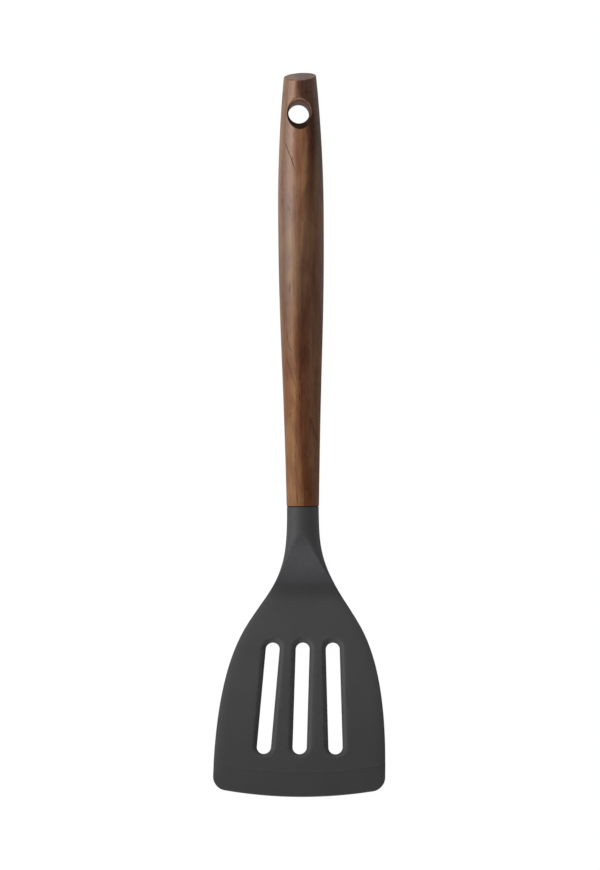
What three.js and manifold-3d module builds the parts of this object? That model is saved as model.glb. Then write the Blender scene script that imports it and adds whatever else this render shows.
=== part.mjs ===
// Kitchen turner: a walnut handle glued to a silicone head with three slots, stiffened by a hidden core.
// Millimetres, +Z up. It lies on its back on a worktop, handle towards +Y, the food side of the blade up.
// Each piece is drawn in the tool's own frame: the joint of handle and head at the origin, the handle's
// axis along +Y. The last group turns that frame about X until belly and heel both touch the worktop.

import * as THREE from 'three';
import { mergeVertices } from 'three/addons/utils/BufferGeometryUtils.js';
import Module from 'manifold-3d';

// Handle: a turned swell from the joint to the belly and on to the end. A fullness is how far a curve
// follows its end's direction, as a share of the curve's own run
const handleLength = 208;
const jointDiameter = 15.4;
const jointTaper = 1.03;
const jointFullness = 0.57;
const jointEase = 0.3;
const bellyDiameter = 22.1;
const bellyFromEnd = 65.2;
const bellyFullnessDown = 0.39;
const bellyFullnessUp = 0.41;
const endDiameter = 15.6;
const endTaper = 5.8;
const endFullness = 0.2;
const endSlant = 21;

// Hang hole, eased on both sides of the handle
const hangHoleDiameter = 11;
const hangHoleFromEnd = 18.4;
const hangHoleRim = 2.8;

// Slots, fanned about the blade's middle line; distances along the head start at the joint
const slotCount = 3;
const slotWidth = 6.75;
const slotLength = 55.3;
const slotsFromJoint = 68.4;
const slotLand = 8.85;
const slotFan = 2.6;
const slotRimRadius = 1.4;
const slotRimTurn = 72;

// Outline of the head: neck, hip, widest place, bowed front
const headWidth = 80.8;
const widestFromFront = 12.3;
const hipFromJoint = 55;
const hipWidth = 49.8;
const hipAngle = 31.8;
const neckFullness = 0.45;
const hipFullnessIn = 0.45;
const hipFullnessOut = 0.12;
const widestFullness = 0.65;
const frontRadius = 210;
const cornerRadius = 5.5;

// Bend between neck and blade
const heelFromJoint = 36;
const heelRadius = 30;
const bendAngle = 25;

// Thickness of the head, from the round neck down to the lip, which starts with a small step
const neckStraight = 12.5;
const wedgeEndFromJoint = 40;
const wedgeFullnessTop = 0.36;
const wedgeFullnessHeel = 0.36;
const bladeHeelThickness = 4.2;
const bladeFrontThickness = 3.2;
const lipThickness = 1.2;
const lipLength = 11.4;
const lipStep = 0.3;
const slotsToLip = 8.9;

// Rounding of the head's edges: all round at the neck, then giving way to a flat facet above and below
const facetSpread = 38;
const facetFullness = 0.13;
const edgeEndFromJoint = 36;
const edgeFullness = 0.17;
const bladeEdge = 0.8;

// Core inside the silicone: cover over its faces, walls at its edges
const bladeCover = 0.7;
const neckWall = 1.6;
const edgeWall = 4;
const slotWall = 2.2;
const coreCornerRadius = 4;
const mouldGap = 0.3;

// Socket in the handle, the glue in it and the core's grooved shank
const socketWall = 2.8;
const shankLength = 38;
const grooveCount = 3;
const groovePitch = 9;
const grooveWidth = 3;
const grooveDepth = 0.8;
const bondThickness = 0.5;
const bondGap = 0.3;
const bondSetback = 1.5;
const socketEndGap = 0.9;
const drillPointAngle = 118;
const jointGap = 0.4;

// Fineness of the meshes
const turnSegments = 44;
const hiddenSegments = 24;
const swellSteps = 9;
const acrossSteps = 8;
const sideSteps = 10;
const slotEndSteps = 8;
const slotRimSteps = 4;
const mouthSteps = 4;
const curvePoints = 80;
const coreAcrossSteps = 4;
const coreSideSteps = 5;
const leastFlat = 0.05;
const weldDistance = 1e-4;
const cutOvershoot = 2;
const bowRounds = 4;
const settleRounds = 8;

const radians = THREE.MathUtils.degToRad;
const wasm = await Module();
wasm.setup();

// Solids and meshes

function solidFrom(geometry) {
  const bare = geometry.clone();
  bare.deleteAttribute('normal');
  bare.deleteAttribute('uv');
  const merged = mergeVertices(bare, weldDistance);
  const corners = merged.index.array;
  const triangles = [];
  for (let i = 0; i < corners.length; i += 3) {
    const [a, b, c] = corners.slice(i, i + 3);
    if (a !== b && b !== c && c !== a) {
      triangles.push(a, b, c);
    }
  }
  return new wasm.Manifold(new wasm.Mesh({
    numProp: 3,
    vertProperties: new Float32Array(merged.attributes.position.array),
    triVerts: new Uint32Array(triangles),
  }));
}

function meshFrom(name, solid, colour, roughness) {
  const { vertProperties, triVerts } = solid.getMesh();
  const geometry = new THREE.BufferGeometry();
  geometry.setAttribute('position', new THREE.BufferAttribute(vertProperties, 3));
  geometry.setIndex(new THREE.BufferAttribute(triVerts, 1));
  geometry.computeVertexNormals();
  const material = new THREE.MeshStandardMaterial({ color: colour, roughness, metalness: 0 });
  const mesh = new THREE.Mesh(geometry, material);
  mesh.name = name;
  return mesh;
}

function turned(profile, segments) {
  const points = profile.map(([radius, height]) => new THREE.Vector2(radius, height));
  return new THREE.LatheGeometry(points, segments);
}

// A curve that leaves its start and reaches its end along given slopes
function swept(start, startSlope, startFullness, end, endSlope, endFullness) {
  const run = end.x - start.x;
  const reachOut = run * startFullness;
  const reachIn = run * endFullness;
  return new THREE.CubicBezierCurve(
    start,
    new THREE.Vector2(start.x + reachOut, start.y + reachOut * startSlope),
    new THREE.Vector2(end.x - reachIn, end.y - reachIn * endSlope),
    end,
  );
}

// The height of a row of points, or of a curve's points, at a distance
function valueAt(points, distance) {
  const after = points.findIndex((point) => point.x > distance);
  if (after <= 0) {
    return after === 0 ? points[0].y : points.at(-1).y;
  }
  const [low, high] = [points[after - 1], points[after]];
  return THREE.MathUtils.mapLinear(distance, low.x, high.x, low.y, high.y);
}

// A closed skin over rings of equal point count; each ring runs along its first row, round one side,
// back along its second row and round the other side, and the ends are closed from row to row
function lofted(rings, across, side) {
  const count = 2 * (across + side);
  const positions = rings.flat().flatMap((point) => [point.x, point.y, point.z]);
  const index = [];
  const quad = (a, b, c, d) => index.push(a, b, c, a, c, d);
  for (let ring = 0; ring + 1 < rings.length; ring += 1) {
    for (let i = 0; i < count; i += 1) {
      const next = (i + 1) % count;
      const here = ring * count;
      quad(here + i, here + next, here + count + next, here + count + i);
    }
  }
  const facing = (i) => 2 * across + side - i;
  const close = (start, flip) => {
    const face = (a, b, c) => (flip ? index.push(start + a, start + c, start + b)
      : index.push(start + a, start + b, start + c));
    for (let i = 0; i < across; i += 1) {
      face(i, facing(i), facing(i + 1));
      face(i, facing(i + 1), i + 1);
    }
    for (let i = 1; i < side; i += 1) {
      face(across, across + i + 1, across + i);
      face(facing(0), (facing(0) + i + 1) % count, facing(0) + i);
    }
  };
  close(0, false);
  close((rings.length - 1) * count, true);
  const geometry = new THREE.BufferGeometry();
  geometry.setAttribute('position', new THREE.Float32BufferAttribute(positions, 3));
  geometry.setIndex(index);
  return geometry;
}

// Handle

const jointRadius = jointDiameter / 2;
const socketRadius = jointRadius - socketWall;
const shankRadius = socketRadius - 2 * bondGap - bondThickness;
const socketDepth = shankLength + bondGap + bondThickness + socketEndGap;
const drillPointRise = socketRadius / Math.tan(radians(drillPointAngle / 2));
const hangHoleHeight = handleLength - hangHoleFromEnd;

const jointPoint = new THREE.Vector2(jointGap + jointEase, jointRadius);
const bellyPoint = new THREE.Vector2(handleLength - bellyFromEnd, bellyDiameter / 2);
const endPoint = new THREE.Vector2(handleLength, endDiameter / 2);
const endSlope = -Math.tan(radians(endTaper));
const swellPoints = [
  ...swept(jointPoint, Math.tan(radians(jointTaper)), jointFullness, bellyPoint, 0, bellyFullnessDown)
    .getPoints(swellSteps),
  ...swept(bellyPoint, 0, bellyFullnessUp, endPoint, endSlope, endFullness).getPoints(swellSteps).slice(1),
];

function handleSolid() {
  const runOut = endPoint.y * Math.tan(radians(endSlant)) + cutOvershoot;
  const body = turned([
    [0, socketDepth + drillPointRise],
    [socketRadius, socketDepth],
    [socketRadius, jointGap],
    [jointRadius - jointEase, jointGap],
    ...swellPoints.map((point) => [point.y, point.x]),
    [endPoint.y + runOut * endSlope, handleLength + runOut],
    [0, handleLength + runOut],
  ], turnSegments);

  // The end is sawn off at a slant that faces the front
  const waste = 4 * bellyDiameter;
  const saw = new THREE.BoxGeometry(waste, waste, waste);
  saw.translate(0, waste / 2, 0);
  saw.rotateX(radians(endSlant));
  saw.translate(0, handleLength, 0);

  // The hole is a straight bore that opens into a cone at each side, with a rounded change between
  const boreRadius = hangHoleDiameter / 2;
  const crown = valueAt(swellPoints, hangHoleHeight);
  const coneStart = crown - hangHoleRim;
  const mouth = (side) => new THREE.QuadraticBezierCurve(
    new THREE.Vector2(boreRadius, side * (coneStart - hangHoleRim / 2)),
    new THREE.Vector2(boreRadius, side * coneStart),
    new THREE.Vector2(boreRadius + hangHoleRim / 2, side * (coneStart + hangHoleRim / 2)),
  ).getPoints(mouthSteps).map((point) => [point.x, point.y]);
  const outer = crown + cutOvershoot;
  const drill = turned([
    [0, -outer],
    [boreRadius + hangHoleRim + cutOvershoot, -outer],
    ...mouth(-1).reverse(),
    ...mouth(1),
    [boreRadius + hangHoleRim + cutOvershoot, outer],
    [0, outer],
  ], turnSegments);
  drill.rotateX(Math.PI / 2);
  drill.translate(0, hangHoleHeight, 0);
  return solidFrom(body).subtract(solidFrom(saw)).subtract(solidFrom(drill));
}

// Head: points on it are given by the distance along its underside, the distance from its middle line
// and the height over the underside

const bendEnd = heelFromJoint + heelRadius * radians(bendAngle);
const slotsEnd = slotsFromJoint + slotLength;
const lipStart = slotsEnd + slotsToLip;
const headLength = lipStart + lipLength;

function headPoint(along, sideways, height) {
  const turn = THREE.MathUtils.clamp((along - heelFromJoint) / heelRadius, 0, radians(bendAngle));
  const beyond = Math.max(0, along - bendEnd);
  const level = Math.min(along, heelFromJoint);
  const y = -level - heelRadius * Math.sin(turn) - beyond * Math.cos(turn);
  const z = -jointRadius + heelRadius * (1 - Math.cos(turn)) + beyond * Math.sin(turn);
  return new THREE.Vector3(sideways, y + height * Math.sin(turn), z + height * Math.cos(turn));
}

const hipSlope = Math.tan(radians(hipAngle));
const neckPoint = new THREE.Vector2(0, jointRadius);
const hipPoint = new THREE.Vector2(hipFromJoint, hipWidth / 2);
const widestPoint = new THREE.Vector2(headLength - widestFromFront, headWidth / 2);
const outlinePoints = [
  ...swept(neckPoint, 0, neckFullness, hipPoint, hipSlope, hipFullnessIn).getPoints(curvePoints),
  ...swept(hipPoint, hipSlope, hipFullnessOut, widestPoint, 0, widestFullness)
    .getPoints(curvePoints).slice(1),
];
const wedgePoints = swept(
  new THREE.Vector2(neckStraight, jointDiameter), 0, wedgeFullnessTop,
  new THREE.Vector2(wedgeEndFromJoint, bladeHeelThickness), 0, wedgeFullnessHeel,
).getPoints(curvePoints);
const edgePoints = swept(
  new THREE.Vector2(neckStraight, valueAt(outlinePoints, neckStraight)), -Math.tan(radians(facetSpread)),
  facetFullness, new THREE.Vector2(edgeEndFromJoint, bladeEdge), 0, edgeFullness,
).getPoints(curvePoints);

function thicknessAt(along) {
  if (along <= wedgeEndFromJoint) {
    return valueAt(wedgePoints, along);
  }
  if (along <= lipStart) {
    const share = (along - wedgeEndFromJoint) / (lipStart - wedgeEndFromJoint);
    return THREE.MathUtils.lerp(bladeHeelThickness, bladeFrontThickness, share);
  }
  const lipShare = (along - lipStart) / lipLength;
  const ledge = lipStep * (1 - Math.min(1, (along - lipStart) / lipStep));
  return THREE.MathUtils.lerp(bladeFrontThickness - lipStep, lipThickness, lipShare) + ledge;
}

// How far in from the side the rounding of an edge reaches
function edgeAt(along) {
  return along <= neckStraight ? valueAt(outlinePoints, along) : valueAt(edgePoints, along);
}

// How far the bowed front pulls a point back towards the neck: all of it from the lip on
function bowAt(along, sideways) {
  const share = THREE.MathUtils.smoothstep(along, hipFromJoint, lipStart);
  return share * (frontRadius - Math.sqrt(frontRadius ** 2 - sideways ** 2));
}

function outlineAt(along, inset) {
  let half = valueAt(outlinePoints, along) - inset;
  for (let round = 0; round < bowRounds; round += 1) {
    half = valueAt(outlinePoints, along - bowAt(along, half)) - inset;
  }
  return half;
}

// One cross-section: flat above and below, round at both edges. cover and wall are what is taken off
// its faces and its edges, and the corners of its front are rounded
function headRing(along, body) {
  const { front, corner, across, side } = body;
  const cornerStart = front - corner;
  const intoCorner = Math.max(0, along - cornerStart);
  const level = Math.min(along, cornerStart);
  const cover = body.coverAt(along);
  const square = outlineAt(level, body.wallAt(level));
  const half = square - corner + Math.sqrt(corner ** 2 - intoCorner ** 2);
  const thickness = thicknessAt(along);
  const rise = thickness / 2 - cover;
  const flatRoom = half - body.edgeAt(along, rise);
  const flat = flatRoom < leastFlat ? 0 : flatRoom;
  const edge = half - flat;
  const ring = [];
  const add = (sideways, height) => {
    ring.push(headPoint(along - bowAt(along, sideways), sideways, thickness / 2 + height));
  };
  for (let i = 0; i < across; i += 1) {
    add(THREE.MathUtils.lerp(-flat, flat, i / across), -rise);
  }
  for (let i = 0; i < side; i += 1) {
    const turn = Math.PI * i / side;
    add(flat + edge * Math.sin(turn), -rise * Math.cos(turn));
  }
  for (let i = 0; i < across; i += 1) {
    add(THREE.MathUtils.lerp(flat, -flat, i / across), rise);
  }
  for (let i = 0; i < side; i += 1) {
    const turn = Math.PI * i / side;
    add(-flat - edge * Math.sin(turn), rise * Math.cos(turn));
  }
  return ring;
}

// Distances along the head at which its sections are taken, closer together where it bends and rounds
function stations(body) {
  const stretches = [
    [neckStraight, wedgeEndFromJoint, body.neckSteps],
    [wedgeEndFromJoint, bendEnd, body.bendSteps],
    [bendEnd, slotsFromJoint, body.hipSteps],
    [slotsFromJoint, slotsEnd, body.slotSteps],
  ];
  const cornerStart = body.front - body.corner;
  const list = [body.start, lipStart, lipStart + lipStep];
  for (const [from, to, steps] of stretches) {
    for (let i = 0; i <= steps; i += 1) {
      list.push(THREE.MathUtils.lerp(from, to, i / steps));
    }
  }
  const inside = [...new Set(list)].filter((along) => along < cornerStart).sort((a, b) => a - b);
  for (let i = 0; i <= body.cornerSteps; i += 1) {
    inside.push(cornerStart + body.corner * Math.sin(Math.PI / 2 * i / body.cornerSteps));
  }
  return inside;
}

function headLoft(body) {
  const rings = stations(body).map((along) => headRing(along, body));
  return solidFrom(lofted(rings, body.across, body.side));
}

// A stack of slot outlines through the blade; each level has its height over the underside, as a function
// of the blade's thickness there, and its radius
function slotStack(number, levels) {
  const place = number - (slotCount - 1) / 2;
  const slotPitch = slotWidth + slotLand;
  const turn = radians(place * slotFan);
  const middle = slotsFromJoint + slotLength / 2;
  const straight = (slotLength - slotWidth) / 2;
  const rings = levels.map(({ heightAt, radius }) => {
    const ring = [];
    for (const end of [1, -1]) {
      for (let i = 0; i <= slotEndSteps; i += 1) {
        const angle = Math.PI * (i / slotEndSteps - 0.5);
        const lengthwise = end * (straight + radius * Math.cos(angle));
        const crosswise = end * radius * Math.sin(angle);
        const along = middle + lengthwise * Math.cos(turn) - crosswise * Math.sin(turn);
        const sideways = place * slotPitch + lengthwise * Math.sin(turn) + crosswise * Math.cos(turn);
        ring.push(headPoint(along, sideways, heightAt(thicknessAt(along))));
      }
    }
    return ring;
  });
  return solidFrom(lofted(rings, slotEndSteps, 1));
}

// The slot with a rounded rim at both faces; the rim runs on straight past the face
function slotCutter(number) {
  const rimTurn = radians(slotRimTurn);
  const rim = [];
  for (let i = 0; i <= slotRimSteps; i += 1) {
    const turn = rimTurn * i / slotRimSteps;
    const depth = slotRimRadius * (1 - Math.sin(turn));
    rim.push({ depth, radius: slotWidth / 2 + slotRimRadius * (1 - Math.cos(turn)) });
  }
  const last = rim.at(-1);
  rim.push({
    depth: last.depth - slotRimRadius * Math.cos(rimTurn),
    radius: last.radius + slotRimRadius * Math.sin(rimTurn),
  });
  const lower = rim.map(({ depth, radius }) => ({ heightAt: () => depth, radius }));
  const upper = rim.map(({ depth, radius }) => ({ heightAt: (thickness) => thickness - depth, radius }));
  return slotStack(number, [...lower.reverse(), ...upper]);
}

function slotPost(number, radius) {
  return slotStack(number, [
    { heightAt: () => -cutOvershoot, radius },
    { heightAt: (thickness) => thickness + cutOvershoot, radius },
  ]);
}

function withoutSlots(solid, toolFor) {
  let cut = solid;
  for (let number = 0; number < slotCount; number += 1) {
    cut = cut.subtract(toolFor(number));
  }
  return cut;
}

// The core's shape, or the room that the silicone leaves for it where clearance is 0
function coreBody(clearance, start) {
  const share = (along) => THREE.MathUtils.smoothstep(along, neckStraight, wedgeEndFromJoint);
  return {
    start,
    front: lipStart - clearance,
    corner: coreCornerRadius,
    across: coreAcrossSteps,
    side: coreSideSteps,
    neckSteps: 7,
    bendSteps: 3,
    hipSteps: 4,
    slotSteps: 3,
    cornerSteps: 3,
    coverAt: (along) => THREE.MathUtils.lerp(neckWall, bladeCover, share(along)) + clearance,
    wallAt: (along) => THREE.MathUtils.lerp(neckWall, edgeWall, share(along)) + clearance,
    edgeAt: (along, rise) => Math.max(edgeAt(along) - neckWall - clearance, rise),
  };
}

function headSolid() {
  const skin = headLoft({
    start: 0,
    front: headLength,
    corner: cornerRadius,
    across: acrossSteps,
    side: sideSteps,
    neckSteps: 10,
    bendSteps: 4,
    hipSteps: 5,
    slotSteps: 5,
    cornerSteps: 5,
    coverAt: () => 0,
    wallAt: () => 0,
    edgeAt,
  });
  const room = withoutSlots(
    headLoft(coreBody(0, -cutOvershoot)),
    (number) => slotPost(number, slotWidth / 2 + slotWall),
  );
  return withoutSlots(skin, slotCutter).subtract(room);
}

// Core: the plate and neck follow the head, and the shank is turned with grooves that key the glue

const grooveCentres = Array.from(
  { length: grooveCount },
  (_, i) => shankLength / 2 + (i - (grooveCount - 1) / 2) * groovePitch,
);

function coreSolid() {
  const plate = withoutSlots(
    headLoft(coreBody(mouldGap, 0)),
    (number) => slotPost(number, slotWidth / 2 + slotWall + mouldGap),
  );
  const grooves = grooveCentres.flatMap((centre) => [
    [shankRadius, centre - grooveWidth / 2],
    [shankRadius - grooveDepth, centre - grooveWidth / 2],
    [shankRadius - grooveDepth, centre + grooveWidth / 2],
    [shankRadius, centre + grooveWidth / 2],
  ]);
  const shank = turned([
    [0, -neckStraight],
    [shankRadius, -neckStraight],
    ...grooves,
    [shankRadius, shankLength],
    [0, shankLength],
  ], hiddenSegments);
  return plate.add(solidFrom(shank));
}

// Bond: the glue between shank and socket

function bondSolid() {
  const inner = shankRadius + bondGap;
  const outer = socketRadius - bondGap;
  const foot = jointGap + bondSetback;
  const top = shankLength + bondGap;
  const keys = grooveCentres.flatMap((centre) => [
    [inner, centre - grooveWidth / 2 + bondGap],
    [inner - grooveDepth, centre - grooveWidth / 2 + bondGap],
    [inner - grooveDepth, centre + grooveWidth / 2 - bondGap],
    [inner, centre + grooveWidth / 2 - bondGap],
  ]);
  return solidFrom(turned([
    [0, top],
    [inner, top],
    ...keys.reverse(),
    [inner, foot],
    [outer, foot],
    [outer, top + bondThickness],
    [0, top + bondThickness],
  ], hiddenSegments));
}

// Assembly

const handle = meshFrom('handle', handleSolid(), 0x6f4c39, 0.5);
const head = meshFrom('head', headSolid(), 0x434345, 0.55);
const core = meshFrom('core', coreSolid(), 0x1d1d20, 0.6);
const bond = meshFrom('bond', bondSolid(), 0xcbb67c, 0.4);

const tool = new THREE.Group();
tool.add(handle, head, core, bond);

function lowestPoint(mesh, turn) {
  const axis = new THREE.Vector3(1, 0, 0);
  const positions = mesh.geometry.attributes.position;
  let lowest = new THREE.Vector3(0, 0, Infinity);
  for (let i = 0; i < positions.count; i += 1) {
    const point = new THREE.Vector3().fromBufferAttribute(positions, i).applyAxisAngle(axis, turn);
    if (point.z < lowest.z) {
      lowest = point;
    }
  }
  return lowest;
}

// The turn about X at which the handle's belly and the head's heel are level
for (let round = 0; round < settleRounds; round += 1) {
  const belly = lowestPoint(handle, tool.rotation.x);
  const heel = lowestPoint(head, tool.rotation.x);
  tool.rotation.x += Math.atan2(heel.z - belly.z, belly.y - heel.y);
}
tool.updateMatrixWorld(true);
const reach = new THREE.Box3().setFromObject(tool, true);
tool.position.set(0, -(reach.min.y + reach.max.y) / 2, -reach.min.z);

const turner = new THREE.Group();
turner.add(tool);

export default turner;
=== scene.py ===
"""A kitchen turner on a plain studio floor: a turned walnut handle and a slotted silicone head."""

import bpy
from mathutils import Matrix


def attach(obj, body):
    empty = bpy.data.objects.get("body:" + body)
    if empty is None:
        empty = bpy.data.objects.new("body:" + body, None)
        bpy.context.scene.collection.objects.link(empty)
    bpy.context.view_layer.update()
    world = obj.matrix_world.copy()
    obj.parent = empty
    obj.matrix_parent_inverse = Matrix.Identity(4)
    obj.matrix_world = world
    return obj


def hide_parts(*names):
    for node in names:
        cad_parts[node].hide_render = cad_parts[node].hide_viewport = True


bl_info = {
    "name": "Kitchen turner",
    "version": (1, 0, 0),
    "blender": (4, 5, 0),
    "location": "3D View > Sidebar > Turner",
    "description": "Dresses the packed turner with its walnut handle and silicone head, and lights it",
    "category": "Object",
}

from math import cos, pi, radians, sin, tan

import bmesh
import bpy
import numpy as np
from bpy.props import FloatProperty, FloatVectorProperty, IntProperty, PointerProperty
from mathutils import Matrix, Vector
from mathutils.geometry import delaunay_2d_cdt

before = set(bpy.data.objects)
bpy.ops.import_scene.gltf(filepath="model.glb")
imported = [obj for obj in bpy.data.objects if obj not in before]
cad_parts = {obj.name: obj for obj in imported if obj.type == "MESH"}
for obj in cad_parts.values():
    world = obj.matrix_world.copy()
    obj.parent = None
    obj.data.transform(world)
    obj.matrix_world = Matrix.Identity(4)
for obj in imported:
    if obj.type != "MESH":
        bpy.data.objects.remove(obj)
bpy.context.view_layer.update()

MM = 0.001
BODY = "root"

# The tool's own frame has the joint of handle and head at its origin, the handle along +Y and the food
# side up. The turner lies on its heel and its belly, which tilts that frame by LYING_TILT
LYING_TILT = radians(1.197)
JOINT_PLACE = Vector((0, -37.795, 8.456)) * MM
LAID = Matrix.Translation(JOINT_PLACE) @ Matrix.Rotation(LYING_TILT, 4, "X")
LEVELLED_JOINT = Matrix.Rotation(-LYING_TILT, 3, "X") @ JOINT_PLACE


# Sizes and colours

def length(name, description, millimetres):
    """A length in the sidebar."""
    return FloatProperty(name=name, description=description, default=millimetres * MM, unit="LENGTH",
                         precision=5)


def angle(name, description, degrees):
    """An angle in the sidebar."""
    return FloatProperty(name=name, description=description, default=radians(degrees), subtype="ANGLE")


def share(name, description, default):
    """A share between 0 and 1 in the sidebar."""
    return FloatProperty(name=name, description=description, default=default, min=0, max=1,
                         subtype="FACTOR")


def count(name, description, default):
    """A whole number in the sidebar."""
    return IntProperty(name=name, description=description, default=default, min=1)


def plain_number(name, description, default, **limits):
    """A plain number in the sidebar."""
    return FloatProperty(name=name, description=description, default=default, **limits)


def power(name, description, watts):
    """The power of a lamp in the sidebar."""
    return plain_number(name, description, watts, unit="POWER")


def colour(name, description, default):
    """A linear colour in the sidebar."""
    return FloatVectorProperty(name=name, description=description, default=default, size=3,
                               min=0, max=1, subtype="COLOR")


class TurnerHandleSizes(bpy.types.PropertyGroup):
    """Sizes and colours of the turned walnut handle."""

    full_length: length("Length", "From the joint to the middle of the sawn end", 208)
    joint_radius: length("Joint radius", "Radius where the handle meets the head", 7.83)
    joint_gap: length("Joint gap", "Open line between handle and head", 0.12)
    joint_ease: length("Joint ease", "Rounding of the edge at the joint", 0.4)
    joint_shoulder: length("Joint shoulder", "Radius of the shoulder that closes the joint", 6.9)
    joint_taper: angle("Joint taper", "How fast the handle widens at the joint", 1.1)
    joint_fullness: share("Joint fullness", "How far the joint's direction carries on", 0.57)
    belly_radius: length("Belly radius", "Largest radius of the handle", 11.05)
    belly_from_end: length("Belly from end", "Distance of the belly from the sawn end", 65.2)
    fullness_below: share("Fullness below belly", "How long the belly lasts towards the joint", 0.42)
    fullness_above: share("Fullness above belly", "How long the belly lasts towards the end", 0.41)
    end_radius: length("End radius", "Radius at the middle of the sawn end", 7.8)
    end_taper: angle("End taper", "How fast the handle narrows at the end", 5.8)
    end_fullness: share("End fullness", "How far the end's direction carries back", 0.2)
    end_slant: angle("End slant", "Slant of the sawn end", 21)
    end_skew: angle("End skew", "How far the saw ran off sideways", 3.7)
    end_ease: length("End ease", "Rounding of the sawn end's edge", 0.35)
    hole_radius: length("Hang hole radius", "Radius of the bore", 5.03)
    hole_from_end: length("Hang hole from end", "Distance of the bore from the sawn end", 18.4)
    hole_rim: length("Hang hole rim", "Depth of the eased rim", 2.8)
    hole_aside: length("Hang hole aside", "How far the bore lies to the left of the axis", 0.77)
    roll: angle("Roll", "How far the glued handle is turned about its axis", 6.4)
    socket_radius: length("Socket radius", "Radius of the blind socket for the shank", 4.9)
    socket_depth: length("Socket depth", "Depth of the socket's straight part", 39.7)
    rounds: count("Points round", "Points round the handle", 120)
    rows: count("Rows", "Rows along the handle", 150)
    heartwood: colour("Heartwood", "The dark start of a growth layer", (0.086, 0.029, 0.012))
    midwood: colour("Middle wood", "The middle of a growth layer", (0.116, 0.056, 0.030))
    palewood: colour("Pale wood", "The light end of a growth layer", (0.172, 0.074, 0.032))
    pore: colour("Pores", "The open pores of the wood", (0.016, 0.008, 0.005))
    oil: colour("Oil", "Tint of the oil's shine", (1.0, 0.96, 0.91))
    layer_spacing: length("Layer spacing", "Thickness of a growth layer", 30)


class TurnerHeadSizes(bpy.types.PropertyGroup):
    """Sizes and colours of the silicone head."""

    neck_radius: length("Neck radius", "Radius where the head meets the handle", 7.7)
    neck_ease: length("Neck ease", "Rounding of the neck's edge at the joint", 0.25)
    half_width: length("Half width", "Half of the blade's greatest width", 40.5)
    widest_from_front: length("Widest from front", "Distance of the widest place from the front", 12.3)
    hip_from_joint: length("Hip from joint", "Distance of the hip from the joint", 55)
    hip_half_width: length("Hip half width", "Half of the width at the hip", 24.6)
    hip_angle: angle("Hip angle", "Direction of the outline at the hip", 31.8)
    neck_fullness: share("Neck fullness", "How far the neck runs on straight", 0.45)
    hip_fullness_in: share("Hip fullness towards the neck", "Reach of the hip's direction upwards", 0.45)
    hip_fullness_out: share("Hip fullness towards the front", "Reach of the hip's direction down", 0.12)
    widest_fullness: share("Widest fullness", "How long the widest place lasts", 0.65)
    front_radius: length("Front radius", "Radius of the bowed front", 210)
    corner_radius: length("Corner radius", "Radius of the front corners", 5.5)
    heel_from_joint: length("Heel from joint", "Where the bend starts", 36)
    heel_radius: length("Heel radius", "Radius of the bend on the underside", 30)
    bend: angle("Bend", "Angle between neck and blade", 25)
    neck_straight: length("Straight neck", "Round length of the neck", 12.5)
    wedge_end: length("Wedge end", "Where the neck has thinned to the blade", 40)
    wedge_fullness_top: share("Wedge fullness at the neck", "How slowly the thinning starts", 0.36)
    wedge_fullness_heel: share("Wedge fullness at the heel", "How slowly the thinning ends", 0.36)
    facet_spread: angle("Facet spread", "How fast the neck's flat facet widens at its tip", 38)
    facet_fullness: share("Facet fullness", "How far the facet's first spread carries on", 0.13)
    edge_end: length("Edge end", "Where the edges have become as crisp as the blade's", 36)
    edge_fullness: share("Edge fullness", "How slowly the edges reach the blade's crispness", 0.17)
    blade_edge: length("Blade edge", "How far the rounding of the blade's edge reaches in", 0.35)
    crown_reach: length("Crown reach", "How far in from the sides the upper face falls away", 5)
    crown_fall: length("Crown fall", "How far the upper face falls at the sides", 0.7)
    crown_start: length("Crown start", "Where that fall starts, from the joint", 32)
    crown_full: length("Crown full", "Where that fall has its full depth, from the joint", 48)
    heel_thickness: length("Heel thickness", "Thickness of the blade at the heel", 4.2)
    front_thickness: length("Front thickness", "Thickness of the blade where the lip starts", 3.2)
    lip_thickness: length("Lip thickness", "Thickness of the lip's edge", 1.2)
    lip_length: length("Lip length", "Length of the thin lip", 11.4)
    lip_step: length("Lip step", "Height of the step where the lip starts", 0.3)
    lip_ease: length("Lip ease", "Length of the step where the lip starts", 0.25)
    head_length: length("Head length", "From the joint to the front, along the underside", 144)
    slot_count: count("Slots", "Number of slots", 3)
    slot_width: length("Slot width", "Width of a slot", 6.65)
    slot_length: length("Slot length", "Length of a slot", 55.3)
    slot_from_joint: length("Slots from joint", "Distance of the slots from the joint", 68.4)
    slot_land: length("Slot land", "Width of the land between slots", 9.05)
    slot_fan: angle("Slot fan", "Turn from one slot to the next", 2.9)
    slot_rim: length("Slot rim", "How far the slots' sloping walls reach into the blade", 2.25)
    slot_crispness: plain_number("Slot crispness", "2 for a flat slope, 1 for a half round", 1.5,
                                 min=1, max=2)
    silicone: colour("Silicone", "Colour of the silicone", (0.035, 0.035, 0.0372))
    rubbed: colour("Rubbed silicone", "Colour of edges that use has dulled", (0.051, 0.051, 0.053))
    nylon: colour("Core", "Colour of the stiff core", (0.012, 0.012, 0.014))
    glue: colour("Glue", "Colour of the cured glue", (0.597, 0.468, 0.202))


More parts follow.
